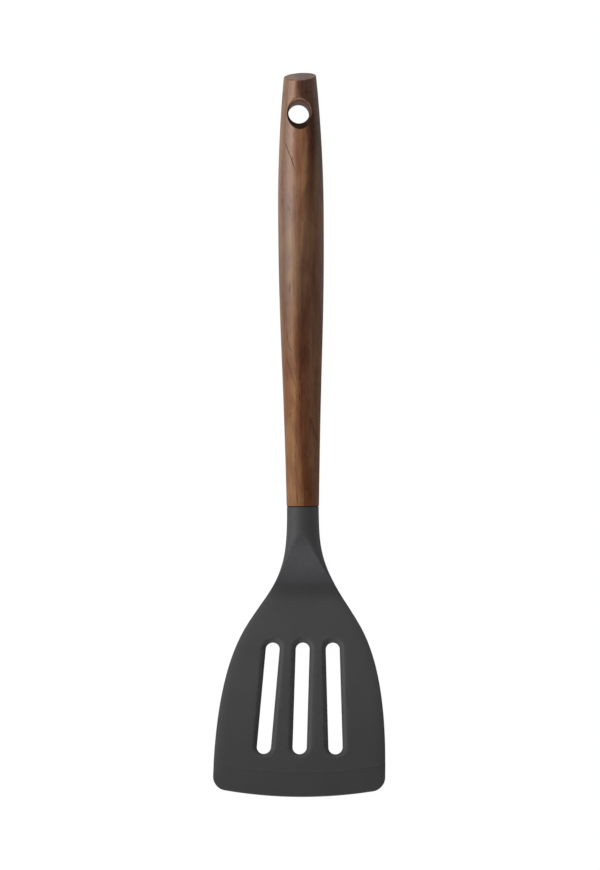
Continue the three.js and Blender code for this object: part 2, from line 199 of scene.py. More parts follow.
class TurnerStageSizes(bpy.types.PropertyGroup):
    """The floor, the lamps and the camera."""

    floor_side: length("Floor side", "Side of the square floor", 6000)
    floor_pale: share("Floor pale", "How much of the light on it the floor gives back", 0.5)
    floor_white: share("Floor white", "Share of plain white in the floor as the camera sees it", 0.92)
    floor_glow: plain_number("Floor glow", "Strength of that plain white", 1.06)
    ambient: plain_number("Ambient", "Strength of the even studio light", 0.67)
    reflected: plain_number("Reflected ambient", "Strength of that light in reflections", 0.04)
    softbox_power: power("Softbox power", "Power of the softbox on the left", 1.75)
    softbox_lean: angle("Softbox lean", "Angle of the softbox from straight above", 60.5)
    softbox_distance: length("Softbox distance", "Distance of the softbox from the turner", 460)
    softbox_along: length("Softbox along", "Place of the softbox along the handle", 60)
    softbox_long: length("Softbox length", "Side of the softbox along the handle", 820)
    softbox_high: length("Softbox height", "Side of the softbox from low to high", 360)
    strip_power: power("Strip power", "Power of the strip over the upper handle", 1.4)
    strip_lean: angle("Strip lean", "Angle of the strip from straight above", 40)
    strip_along: length("Strip along", "Place of the strip along the handle", 450)
    strip_long: length("Strip length", "Side of the strip along the handle", 600)
    strip_wide: length("Strip width", "Side of the strip across the handle", 300)
    near_power: power("Near fill power", "Power of the fill beyond the blade", 5.5)
    near_tint: colour("Near fill tint", "Colour of the fill beyond the blade", (0.95, 0.93, 1.0))
    far_power: power("Far fill power", "Power of the fill beyond the handle", 2.7)
    fill_lean: angle("Fill lean", "Angle of the fills from straight above", 72)
    fill_wide: length("Fill width", "Side of the fills across the handle", 1000)
    fill_high: length("Fill height", "Side of the fills from low to high", 500)
    lamp_distance: length("Lamp distance", "Distance of strip and fills from the turner", 1100)
    camera_height: length("Camera height", "Distance of the camera over the handle's axis", 1050)
    camera_along: length("Camera along", "Place of the camera along the handle, from the joint", 34.56)
    camera_aside: length("Camera aside", "Place of the camera to the right of the handle", -1.15)
    camera_swing: angle("Camera swing", "How far the camera stands to the right, round the handle", 4.9)
    camera_turn: angle("Camera turn", "Turn of the camera about its line of sight", -0.38)
    camera_lens: plain_number("Lens", "Focal length on a 36 mm frame, in millimetres", 89.88)


# Skins: points in the tool's frame and the faces between them

# How near two points count as one, how short an edge counts as none, how far the points that fill a
# surface stay from its loops, and the steps of a curve
SAME_PLACE = 1e-7
NO_LENGTH = 1e-8
FILL_CLEARANCE = 0.4 * MM
CURVE_STEPS = 240


class Skin:
    """Points and faces of one piece, with wear at each point: above 0 rubbed pale, below 0 darkened, as
    painted shade and as darker end grain.
    """

    def __init__(self):
        self.points = []
        self.wear_grain_and_shade = []
        self.faces = []

    def add(self, points, wear_grain_and_shade=0.0):
        """Adds points and gives their numbers."""
        first = len(self.points)
        self.points.extend(tuple(point) for point in points)
        self.wear_grain_and_shade.extend(np.broadcast_to(wear_grain_and_shade, len(points)))
        return list(range(first, len(self.points)))

    def strip(self, row, other, closed=False):
        """Joins two rows of as many points by faces."""
        steps = len(row) if closed else len(row) - 1
        for i in range(steps):
            j = (i + 1) % len(row)
            self.faces.append((row[i], row[j], other[j], other[i]))

    def tube(self, rings):
        """Joins closed rings of points, each to the next."""
        for ring, other in zip(rings, rings[1:]):
            self.strip(ring, other, closed=True)

    def fan(self, row, tip):
        """Closes a ring of points towards one point."""
        for i, here in enumerate(row):
            self.faces.append((here, row[(i + 1) % len(row)], tip))

    def fill(self, loops, flats, inside, place, clearance=FILL_CLEARANCE):
        """Fills the surface between closed loops. flats are the loops on the surface's own map, inside
        the points to add on that map if they clear the loops, and place takes map points into space.
        The first loop is the outer one."""
        free = within(inside, flats[0])
        for flat in flats[1:]:
            free &= ~within(inside, flat)
        for flat in flats:
            gaps = np.linalg.norm(inside[:, None, :] - flat[None, :, :], axis=2).min(axis=1)
            free &= gaps > clearance
        inside = inside[free]
        numbers = [number for loop in loops for number in loop] + self.add(place(inside))
        spots = np.concatenate([*flats, inside])
        edges = []
        first = 0
        for loop in loops:
            edges += [(first + i, first + (i + 1) % len(loop)) for i in range(len(loop))]
            first += len(loop)
        scaled = [Vector(spot) for spot in spots / MM]
        made = delaunay_2d_cdt(scaled, edges, [], 0, SAME_PLACE)
        if len(made[0]) != len(scaled):
            raise RuntimeError("two points of a filled surface lie on each other")
        for face in enclosed([tuple(face) for face in made[2]], {frozenset(edge) for edge in edges}):
            self.faces.append(tuple(numbers[i] for i in face))

    def take(self, mesh, place, wear_grain_and_shade=0.0):
        """Adds a mesh whose points go through place, and gives the numbers of its points."""
        coordinates = np.zeros(len(mesh.vertices) * 3)
        mesh.vertices.foreach_get("co", coordinates)
        numbers = self.add(place(coordinates.reshape(-1, 3)), wear_grain_and_shade)
        self.faces.extend(tuple(numbers[i] for i in face.vertices) for face in mesh.polygons)
        return numbers

    def piece(self, name, material):
        """The finished object, at the origin, with its place in its mesh."""
        mesh = bpy.data.meshes.new(name)
        mesh.from_pydata(self.points, [], self.faces)
        wear_grain_and_shade_layer = mesh.attributes.new("wear_grain_and_shade", "FLOAT", "POINT")
        wear_grain_and_shade_layer.data.foreach_set("value", np.array(self.wear_grain_and_shade, dtype=np.float32))
        mesh.transform(LAID)
        shell = bmesh.new()
        shell.from_mesh(mesh)
        bmesh.ops.remove_doubles(shell, verts=shell.verts, dist=SAME_PLACE)
        bmesh.ops.dissolve_degenerate(shell, edges=shell.edges, dist=NO_LENGTH)
        bmesh.ops.recalc_face_normals(shell, faces=shell.faces)
        open_edges = sum(1 for edge in shell.edges if len(edge.link_faces) != 2)
        if open_edges:
            raise RuntimeError(f"{name} has {open_edges} open edges")
        shell.to_mesh(mesh)
        shell.free()
        mesh.shade_smooth()
        mesh.materials.append(material)
        made = bpy.data.objects.new(name, mesh)
        bpy.context.scene.collection.objects.link(made)
        return made


def within(spots, loop):
    """Which spots of a map lie inside a closed loop."""
    x, y = spots.T
    inside = np.zeros(len(spots), dtype=bool)
    for (x0, y0), (x1, y1) in zip(loop, np.roll(loop, -1, axis=0)):
        if y0 != y1:
            inside ^= ((y0 > y) != (y1 > y)) & (x < (x1 - x0) * (y - y0) / (y1 - y0) + x0)
    return inside


def enclosed(faces, walls):
    """The faces that lie behind an odd number of walls, counted from the rim of all faces inwards."""
    sides = [[frozenset(pair) for pair in zip(face, (*face[1:], face[0]))] for face in faces]
    touching = {}
    for number, face_sides in enumerate(sides):
        for edge in face_sides:
            touching.setdefault(edge, []).append(number)
    waiting = [(numbers[0], edge in walls) for edge, numbers in touching.items() if len(numbers) == 1]
    inside = {}
    while waiting:
        number, behind = waiting.pop()
        if number in inside:
            continue
        inside[number] = behind
        for edge in sides[number]:
            beyond = behind != (edge in walls)
            waiting += [(other, beyond) for other in touching[edge] if other != number]
    return [face for number, face in enumerate(faces) if inside[number]]


def open_loops(faces):
    """The loops of points along the open edges of some faces."""
    edges = set()
    for face in faces:
        for start, end in zip(face, (*face[1:], face[0])):
            if (end, start) in edges:
                edges.remove((end, start))
            else:
                edges.add((start, end))
    after = dict(sorted(edges))
    loops = []
    while after:
        start, here = after.popitem()
        loop = [start]
        while here != start:
            loop.append(here)
            here = after.pop(here)
        loops.append(loop)
    return loops


def swept(start, start_slope, start_fullness, end, end_slope, end_fullness):
    """Points of a curve that leaves its start and reaches its end along given slopes."""
    run = end[0] - start[0]
    reach_out = run * start_fullness
    reach_in = run * end_fullness
    corners = np.array([
        start,
        (start[0] + reach_out, start[1] + reach_out * start_slope),
        (end[0] - reach_in, end[1] - reach_in * end_slope),
        end,
    ])
    return bezier(corners, CURVE_STEPS)


def bezier(corners, steps):
    """Points of a cubic curve from its four control points, or of many curves at once."""
    t = np.linspace(0, 1, steps + 1)[:, None]
    weights = np.hstack([(1 - t) ** 3, 3 * t * (1 - t) ** 2, 3 * t ** 2 * (1 - t), t ** 3])
    return np.tensordot(weights, corners, axes=1)


def smoothstep(value, low, high):
    """0 below low, 1 above high and a smooth rise between."""
    t = np.clip((value - low) / (high - low), 0, 1)
    return t * t * (3 - 2 * t)


# Node trees

# How near the two sides of a seam are joined, and the points of a slot's outline
SEAM_GAP = 1e-6
SLOT_OUTLINE_POINTS = 512


class Wiring:
    """Adds nodes to a tree and joins them."""

    def __init__(self, tree):
        self.tree = tree

    def add(self, kind, inputs=None, **settings):
        """A new node; an input takes another node's output or a value."""
        node = self.tree.nodes.new(kind)
        for key, value in settings.items():
            setattr(node, key, value)
        for key, value in (inputs or {}).items():
            self.feed(node.inputs[key], value)
        return node

    def feed(self, socket, value):
        """Joins a socket to an output, or sets its value."""
        if isinstance(value, bpy.types.NodeSocket):
            self.tree.links.new(value, socket)
        else:
            socket.default_value = value

    def math(self, operation, *values):
        """An operation on numbers."""
        node = self.add("ShaderNodeMath", operation=operation)
        for socket, value in zip(node.inputs, values):
            self.feed(socket, value)
        return node.outputs[0]

    def plus(self, first, second):
        """A sum."""
        return self.math("ADD", first, second)

    def minus(self, first, second):
        """A difference."""
        return self.math("SUBTRACT", first, second)

    def times(self, first, second):
        """A product."""
        return self.math("MULTIPLY", first, second)

    def larger(self, first, second):
        """The larger of two numbers."""
        return self.math("MAXIMUM", first, second)

    def distance(self, first, second):
        """The length of a step of the first number one way and the second square to it."""
        squares = self.plus(self.math("POWER", first, 2.0), self.math("POWER", second, 2.0))
        return self.math("SQRT", squares)

    def vector(self, x=0.0, y=0.0, z=0.0):
        """A vector from its three parts."""
        return self.add("ShaderNodeCombineXYZ", {"X": x, "Y": y, "Z": z}).outputs[0]

    def parts(self, vector):
        """The three parts of a vector."""
        return self.add("ShaderNodeSeparateXYZ", {"Vector": vector}).outputs


def new_tree(name, sizes):
    """An empty geometry tree with named inputs, its wiring and its input sockets."""
    tree = bpy.data.node_groups.new(name, "GeometryNodeTree")
    tree.interface.new_socket("Geometry", in_out="OUTPUT", socket_type="NodeSocketGeometry")
    for label, value in sizes.items():
        kind = "NodeSocketInt" if isinstance(value, int) else "NodeSocketFloat"
        tree.interface.new_socket(label, in_out="INPUT", socket_type=kind)
    wiring = Wiring(tree)
    return tree, wiring, wiring.add("NodeGroupInput").outputs


def close_tree(wiring, geometry, material):
    """Ends a tree: instances made real, smooth faces, the material, the output."""
    real = wiring.add("GeometryNodeRealizeInstances", {"Geometry": geometry}).outputs[0]
    smooth = wiring.add("GeometryNodeSetShadeSmooth", {"Geometry": real}).outputs[0]
    dressed = wiring.add("GeometryNodeSetMaterial", {"Geometry": smooth, "Material": material})
    wiring.add("NodeGroupOutput", {"Geometry": dressed.outputs[0]})


def grown(tree, sizes):
    """The plain mesh that a tree makes with these sizes."""
    holder = bpy.data.objects.new(tree.name, bpy.data.meshes.new(tree.name))
    bpy.context.scene.collection.objects.link(holder)
    modifier = holder.modifiers.new(tree.name, "NODES")
    modifier.node_group = tree
    for item in tree.interface.items_tree:
        if item.in_out == "INPUT":
            modifier[item.identifier] = sizes[item.name]
    evaluated = holder.evaluated_get(bpy.context.evaluated_depsgraph_get())
    mesh = bpy.data.meshes.new_from_object(evaluated)
    holder.modifiers.remove(modifier)
    bpy.data.objects.remove(holder)
    return mesh


def turned_skin_tree(sizes, material):
    """A skin turned about +Y: a curve from joint to belly, another from belly to end."""
    tree, wiring, size = new_tree("turned_skin", sizes)
    math, plus, minus, times = wiring.math, wiring.plus, wiring.minus, wiring.times

    def corner(start, run, fullness, radius, slope=0.0):
        reach = times(run, fullness)
        rise = times(reach, slope)
        return wiring.vector(plus(start, reach), plus(radius, rise))

    below = minus(size["Belly from joint"], size["Start"])
    above = minus(size["End from joint"], size["Belly from joint"])
    back_below = times(below, -1.0)
    back_above = times(above, -1.0)
    belly = wiring.vector(size["Belly from joint"], size["Belly radius"])
    lower = wiring.add("GeometryNodeCurvePrimitiveBezierSegment", {
        "Resolution": size["Curve points"],
        "Start": wiring.vector(size["Start"], size["Joint radius"]),
        "Start Handle": corner(size["Start"], below, size["Joint fullness"], size["Joint radius"],
                               size["Joint slope"]),
        "End Handle": corner(size["Belly from joint"], back_below, size["Fullness below belly"],
                             size["Belly radius"]),
        "End": belly,
    })
    upper = wiring.add("GeometryNodeCurvePrimitiveBezierSegment", {
        "Resolution": size["Curve points"],
        "Start": belly,
        "Start Handle": corner(size["Belly from joint"], above, size["Fullness above belly"],
                               size["Belly radius"]),
        "End Handle": corner(size["End from joint"], back_above, size["End fullness"],
                             size["End radius"], size["End slope"]),
        "End": wiring.vector(size["End from joint"], size["End radius"]),
    })
    profile = wiring.add("GeometryNodeJoinGeometry")
    for curve in (upper, lower):
        wiring.feed(profile.inputs[0], curve.outputs[0])
    grid = wiring.add("GeometryNodeMeshGrid", {
        "Size X": 1.0,
        "Size Y": 1.0,
        "Vertices X": plus(size["Points round"], 1),
        "Vertices Y": plus(size["Rows"], 1),
    }).outputs["Mesh"]
    across, along, _ = wiring.parts(wiring.add("GeometryNodeInputPosition").outputs[0])
    turn = times(across, 2 * pi)
    sample = wiring.add("GeometryNodeSampleCurve", {
        "Curves": profile.outputs[0],
        "Factor": plus(along, 0.5),
    }, mode="FACTOR", use_all_curves=True)
    distance, radius, _ = wiring.parts(sample.outputs["Position"])
    place = wiring.vector(
        times(radius, math("SINE", turn)),
        distance,
        times(radius, math("COSINE", turn)),
    )
    skin = wiring.add("GeometryNodeSetPosition", {"Geometry": grid, "Position": place}).outputs[0]
    closed = wiring.add("GeometryNodeMergeByDistance", {"Geometry": skin, "Distance": SEAM_GAP})
    close_tree(wiring, closed.outputs[0], material)
    return tree


def slot_rims_tree(sizes, material):
    """The rounded walls of the fanned slots, on the blade's own map: X across, Y along, Z up."""
    tree, wiring, size = new_tree("slot_rims", sizes)
    math, plus, minus, times = wiring.math, wiring.plus, wiring.minus, wiring.times

    # A slot's outline: a circle pulled apart along Y
    circle = wiring.add("GeometryNodeCurvePrimitiveCircle", {
        "Resolution": SLOT_OUTLINE_POINTS,
        "Radius": math("DIVIDE", size["Width"], 2.0),
    }).outputs[0]
    _, high, _ = wiring.parts(wiring.add("GeometryNodeInputPosition").outputs[0])
    straight = math("DIVIDE", minus(size["Length"], size["Width"]), 2.0)
    outline = wiring.add("GeometryNodeSetPosition", {
        "Geometry": circle,
        "Offset": wiring.vector(0.0, times(math("SIGN", high), straight), 0.0),
    }).outputs[0]

    # A sheet wrapped round the outline, which slopes from its middle and rounds into both faces
    sheet = wiring.add("GeometryNodeMeshGrid", {
        "Size X": 1.0,
        "Size Y": 1.0,
        "Vertices X": plus(size["Points round"], 1),
        "Vertices Y": size["Rows"],
    }).outputs["Mesh"]
    across, rise, _ = wiring.parts(wiring.add("GeometryNodeInputPosition").outputs[0])
    sample = wiring.add("GeometryNodeSampleCurve", {
        "Curves": outline,
        "Factor": plus(across, 0.5),
    }, mode="FACTOR", use_all_curves=True)
    tangent_x, tangent_y, _ = wiring.parts(sample.outputs["Tangent"])
    outline_x, outline_y, _ = wiring.parts(sample.outputs["Position"])
    turn = times(rise, pi)
    inward = math("POWER", wiring.larger(math("COSINE", turn), 0.0), size["Crispness"])
    out = times(size["Rim"], minus(1.0, inward))
    steep = math("POWER", math("ABSOLUTE", math("SINE", turn)), size["Crispness"])
    rim = wiring.add("GeometryNodeSetPosition", {
        "Geometry": sheet,
        "Position": wiring.vector(
            plus(outline_x, times(tangent_y, out)),
            minus(outline_y, times(tangent_x, out)),
            times(math("SIGN", rise), steep),
        ),
    }).outputs[0]

    # One for each slot, fanned about the blade's middle line
    pitch = plus(size["Width"], size["Land"])
    half_count = math("DIVIDE", minus(size["Count"], 1.0), 2.0)
    line = wiring.add("GeometryNodeMeshLine", {
        "Count": size["Count"],
        "Start Location": wiring.vector(times(times(pitch, half_count), -1.0),
                                        size["Middle from joint"], 0.0),
        "Offset": wiring.vector(pitch, 0.0, 0.0),
    }).outputs[0]
    place = minus(wiring.add("GeometryNodeInputIndex").outputs[0], half_count)
    fan = wiring.vector(0.0, 0.0, times(times(place, size["Fan"]), -1.0))
    slots = wiring.add("GeometryNodeInstanceOnPoints", {
        "Points": line,
        "Instance": rim,
        "Rotation": fan,
    }).outputs[0]
    real = wiring.add("GeometryNodeRealizeInstances", {"Geometry": slots}).outputs[0]

    # The rims reach from face to face of the blade, which thins towards the front
    aside, along, height = wiring.parts(wiring.add("GeometryNodeInputPosition").outputs[0])
    thinned = times(minus(along, size["Wedge end"]), size["Thinning"])
    half = math("DIVIDE", minus(size["Heel thickness"], thinned), 2.0)
    walls = wiring.add("GeometryNodeSetPosition", {
        "Geometry": real,
        "Position": wiring.vector(aside, along, times(half, plus(height, 1.0))),
    }).outputs[0]
    closed = wiring.add("GeometryNodeMergeByDistance", {"Geometry": walls, "Distance": SEAM_GAP})
    close_tree(wiring, closed.outputs[0], material)
    return tree


# Handle

# The window left for the hang hole in the turned skin: its margin, its reach round the handle to each
# side, and how many rows of skin stay beyond it
WINDOW_MARGIN = 2.2 * MM
WINDOW_TURN = radians(62)
ROWS_BEYOND = 1.5

# The hang hole: points round it, rows of its rim, rows in its bore in shares of the way to the rim, and
# the distance of the points about it
HOLE_POINTS = 96
RIM_ROWS = 15
BORE_ROWS = (0.1, 0.25)
RIM_GRID = 0.55 * MM

# The rim's curve: how often its outer end is settled, how far that end then moves out, the step for its
# slope there, and the pulls of its control points in shares of the rim's depth, height and width
RIM_SETTLING = 30
RIM_MARGIN = 0.45 * MM
RIM_STEP = 0.02 * MM
RIM_DROP = 1.2
RIM_HOLD = 0.1
RIM_RISE = 0.3
RIM_PULL = 0.62

# Painted shade on the hang hole's rim and bore: its direction, how wide it lies, how fast it fades, and
# its depth
SHADE_TURN = radians(245)
SHADE_WIDTH = 0.62
SHADE_FADE = 1.6
SHADE_LEAST = 0.05
SHADE_MOST = 0.92

# The sawn end: rows up to it, rows of its rounding, where on that the face's darker wood starts, the
# face's rings in shares of its radius, and how dark it is
END_ROWS = 14
END_EASE_ROWS = 5
FACE_FROM = radians(60)
FACE_RINGS = (0.9, 0.75, 0.5, 0.25)
SAWN_WEAR = -0.3

# The lower end: rows of its rounding, the socket's edge, half of the drill's angle, and how dark it is
# painted, as shade in the joint's groove
JOINT_EASE_ROWS = 4
SOCKET_CHAMFER = 0.4 * MM
DRILL_HALF_ANGLE = radians(59)
JOINT_SHADE = -0.9


def joint_slope(sizes):
    """Slope of the handle's side at the joint."""
    return tan(sizes.joint_taper)


def end_slope(sizes):
    """Slope of the handle's side at the sawn end."""
    return -tan(sizes.end_taper)


def swell(sizes):
    """Distances along the handle and its radius there."""
    start = (sizes.joint_gap + sizes.joint_ease, sizes.joint_radius)
    belly = (sizes.full_length - sizes.belly_from_end, sizes.belly_radius)
    end = (sizes.full_length, sizes.end_radius)
    lower = swept(start, joint_slope(sizes), sizes.joint_fullness, belly, 0, sizes.fullness_below)
    upper = swept(belly, 0, sizes.fullness_above, end, end_slope(sizes), sizes.end_fullness)
    return np.concatenate([lower, upper[1:]]).T


def handle_skin(sizes, material):
    """The handle's skin, from the socket in its lower end to the sawn end."""
    run, radii = swell(sizes)
    start = sizes.joint_gap + sizes.joint_ease
    tree_sizes = {
        "Start": start,
        "Joint radius": sizes.joint_radius,
        "Joint slope": joint_slope(sizes),
        "Joint fullness": sizes.joint_fullness,
        "Belly from joint": sizes.full_length - sizes.belly_from_end,
        "Belly radius": sizes.belly_radius,
        "Fullness below belly": sizes.fullness_below,
        "Fullness above belly": sizes.fullness_above,
        "End from joint": sizes.full_length,
        "End radius": sizes.end_radius,
        "End slope": end_slope(sizes),
        "End fullness": sizes.end_fullness,
        "Points round": sizes.rounds,
        "Rows": sizes.rows,
        "Curve points": CURVE_STEPS,
    }
    turned = grown(turned_skin_tree(tree_sizes, material), tree_sizes)

    # The turned skin without its last rows and without a window for each side of the hang hole
    hole_y = sizes.full_length - sizes.hole_from_end
    window_reach = sizes.hole_radius + sizes.hole_rim + WINDOW_MARGIN
    last_row = hole_y + window_reach + ROWS_BEYOND * sizes.full_length / sizes.rows
    skin = Skin()
    points = np.array([vertex.co for vertex in turned.vertices])
    turns = np.arctan2(points[:, 0], points[:, 2])
    numbers = skin.add(points)
    for polygon in turned.polygons:
        corners = list(polygon.vertices)
        middle = points[corners].mean(axis=0)
        side_turn = np.arctan2(middle[0], abs(middle[2]))
        if middle[1] > last_row:
            continue
        if abs(middle[1] - hole_y) < window_reach and abs(side_turn) < WINDOW_TURN:
            continue
        skin.faces.append(tuple(numbers[i] for i in corners))
    loops = open_loops(skin.faces)
    bottom = min(loops, key=lambda loop: points[loop][:, 1].mean())
    top = max(loops, key=lambda loop: points[loop][:, 1].mean())
    windows = [loop for loop in loops if loop not in (bottom, top)]
    if len(windows) != 2:
        raise RuntimeError("the hang hole needs one window on each side of the handle")

    walls = {}
    for window in windows:
        side = 1 if points[window][:, 2].mean() > 0 else -1
        walls[side] = hole_rim(skin, sizes, window, points[window], side, run, radii)
    skin.strip(walls[1], walls[-1], closed=True)
    sawn_end(skin, sizes, top, points[top], turns[top], run, radii)
    joint_end(skin, sizes, bottom, turns[bottom])
    turned_in = Matrix.Rotation(sizes.roll, 3, "Y")
    skin.points = [tuple(turned_in @ Vector(point)) for point in skin.points]
    return skin


def ring_about_axis(turns, radius, along):
    """Points round the handle's axis."""
    return np.column_stack([
        radius * np.sin(turns),
        np.broadcast_to(along, np.shape(turns)),
        radius * np.cos(turns),
    ])


def hole_rim(skin, sizes, window, window_points, side, run, radii):
    """The eased rim of the hang hole on one side, joined to the turned skin. Gives the bore's ring."""
    hole_y = sizes.full_length - sizes.hole_from_end
    middle_radius = np.interp(hole_y, run, radii)
    ease_start = middle_radius - sizes.hole_rim
    bore = np.full(HOLE_POINTS, sizes.hole_radius)
    turn = np.arange(HOLE_POINTS) * 2 * pi / HOLE_POINTS

    def surface(distance):
        radius = np.interp(hole_y + distance * np.sin(turn), run, radii)
        return np.sqrt(radius ** 2 - (distance * np.cos(turn) - sizes.hole_aside) ** 2)

    # The rim ends a little beyond the place where a slope of 45 degrees would leave the wood
    reach = bore
    for _ in range(RIM_SETTLING):
        reach = (reach + bore + surface(reach) - ease_start) / 2
    reach = reach + RIM_MARGIN
    fall = (surface(reach + RIM_STEP) - surface(reach - RIM_STEP)) / (2 * RIM_STEP)
    wide = (reach - bore) * RIM_PULL
    lifted = (surface(reach) - ease_start) * RIM_RISE
    corners = np.array([
        (bore, np.full(HOLE_POINTS, ease_start - sizes.hole_rim * RIM_DROP)),
        (bore, ease_start - sizes.hole_rim * RIM_HOLD + lifted),
        (reach - wide, surface(reach) - wide * fall),
        (reach, surface(reach)),
    ])
    rows = [(bore, np.full(HOLE_POINTS, ease_start * way_up)) for way_up in BORE_ROWS]
    rows += list(bezier(corners, RIM_ROWS - 1))

    # Painted shade, darkest at the lower left
    shade_share = np.clip(SHADE_WIDTH * (1 + np.cos(turn - SHADE_TURN)), 0, 1) ** SHADE_FADE
    darkened = SHADE_LEAST + SHADE_MOST * shade_share
    rings = []
    for distance, height in rows:
        rings.append(skin.add(np.column_stack([
            distance * np.cos(turn) - sizes.hole_aside,
            hole_y + distance * np.sin(turn),
            side * height,
        ]), -darkened if len(rings) < len(rows) - 1 else 0.0))
    skin.tube(rings)

    # Between the rim and the window, points on the turned surface
    def on_map(points):
        around = np.arctan2(points[:, 0], points[:, 2] * side)
        return np.column_stack([around * middle_radius, points[:, 1]])

    def off_map(spots):
        radius = np.interp(spots[:, 1], run, radii)
        around = spots[:, 0] / middle_radius
        return np.column_stack([radius * np.sin(around), spots[:, 1], side * radius * np.cos(around)])

    outer = on_map(window_points)
    rim = on_map(np.array([skin.points[i] for i in rings[-1]]))
    across = np.arange(outer[:, 0].min(), outer[:, 0].max(), RIM_GRID)
    along = np.arange(outer[:, 1].min(), outer[:, 1].max(), RIM_GRID)
    inside = np.array([(x, y) for x in across for y in along])
    skin.fill([window, rings[-1]], [outer, rim], inside, off_map)
    return rings[0]


def sawn_end(skin, sizes, ring, ring_points, ring_turns, run, radii):
    """The last rows of the handle, its slanted sawn face and the small rounding between them."""
    slope = end_slope(sizes)
    lean = np.cos(ring_turns) * tan(sizes.end_slant) - np.sin(ring_turns) * tan(sizes.end_skew)
    ease = sizes.end_ease
    beyond = -sizes.end_radius * lean / (1 + slope * lean)
    edge = sizes.full_length + beyond

    def radius_at(distance):
        past = sizes.end_radius + (distance - sizes.full_length) * slope
        return np.where(distance < sizes.full_length, np.interp(distance, run, radii), past)

    rows = []
    start = ring_points[:, 1]
    for t in np.linspace(0, 1, END_ROWS + 1)[1:]:
        along = start + (edge - ease - start) * t
        rows.append((along, radius_at(along), 0.0))

    # The rounding, then rings that shrink towards the middle of the sawn face
    for t in np.linspace(0, pi / 2, END_EASE_ROWS + 1)[1:]:
        radius = radius_at(edge) - ease * (1 - cos(t))
        shift = (radius_at(edge) - radius) * lean
        rows.append((edge - ease * (1 - sin(t)) + shift, radius, SAWN_WEAR if t > FACE_FROM else 0.0))
    face_radius = rows[-1][1]
    for t in FACE_RINGS:
        radius = face_radius * t
        rows.append((sizes.full_length - radius * lean, radius, SAWN_WEAR))
    rings = [ring]
    for along, radius, wear_grain_and_shade in rows:
        rings.append(skin.add(ring_about_axis(ring_turns, radius, along), wear_grain_and_shade))
    skin.tube(rings)
    tip = skin.add([(0, sizes.full_length, 0)], SAWN_WEAR)[0]
    skin.fan(rings[-1], tip)


def joint_end(skin, sizes, ring, ring_turns):
    """The lower end of the handle: a small rounding, the end face and the blind socket."""
    ease = sizes.joint_ease
    gap = sizes.joint_gap
    profile = []
    for t in np.linspace(0, pi / 2, JOINT_EASE_ROWS + 1)[1:]:
        profile.append((sizes.joint_radius - ease * (1 - cos(t)), gap + ease * (1 - sin(t))))
    profile += [
        (sizes.joint_shoulder, gap),
        (sizes.joint_shoulder, gap / 4),
        (sizes.socket_radius + SOCKET_CHAMFER, gap / 4),
        (sizes.socket_radius, gap + SOCKET_CHAMFER),
        (sizes.socket_radius, sizes.socket_depth),
    ]
    # The rounding, shoulder and socket are darkened: painted shade in the joint's groove
    rings = [ring]
    for radius, along in profile:
        rings.append(skin.add(ring_about_axis(ring_turns, radius, along), JOINT_SHADE))
    skin.tube(rings)
    drill_point = sizes.socket_radius / tan(DRILL_HALF_ANGLE)
    tip = skin.add([(0, sizes.socket_depth + drill_point, 0)])[0]
    skin.fan(rings[-1], tip)


# Head

# The blade is made apart from the neck from a little before the hip on
BLADE_BEFORE_HIP = 3 * MM

# Where the fall of the upper face is gone and where it is whole, in corner radii from the front
CROWN_GONE = 0.6
CROWN_WHOLE = 2

# The outline: how often the corner's place is settled, steps along side, corner and front, all points
CORNER_SETTLING = 6
SIDE_STEPS = 400
CORNER_STEPS = 60
FRONT_STEPS = 200
OUTLINE_POINTS = 420

# The neck: points across each flat and round each edge, rows of the eased end, the next row's place and
# the distance of the rows from there on, the least half width of a flat
ACROSS = 24
ROUND = 30
NECK_EASE_ROWS = 5
NECK_FIRST_ROW = 1 * MM
NECK_ROW = 0.5 * MM
LEAST_FLAT = 0.05 * MM

# The length over which the blade's edge turns from square to the neck to square to the outline
EDGE_TURN_LENGTH = 14 * MM

# The slots: points round each and rows up each wall
SLOT_POINTS = 200
SLOT_ROWS = 24

# Points within the blade's faces: their grid and its margins, rows at the lip's step in shares of its
# length, rows along the sides in shares of the crown's reach, and how far these stay from the step and
# the corners
FACE_GRID = 1.6 * MM
GRID_MARGIN = 1.2 * MM
CROWN_MARGIN = 1 * MM
STEP_ROWS = (-1.2, -0.4, 0, 0.25, 0.5, 0.75, 1, 1.6, 3)
STEP_MARGIN = 0.1 * MM
CROWN_ROWS = (0.17, 0.29, 0.45, 0.66, 0.92)
STEP_CLEARANCE = 0.4 * MM
CORNER_CLEARANCE = 0.5 * MM

# How far the packed neck's end face may lie from the joint
MOUTH_FLATNESS = 0.02 * MM


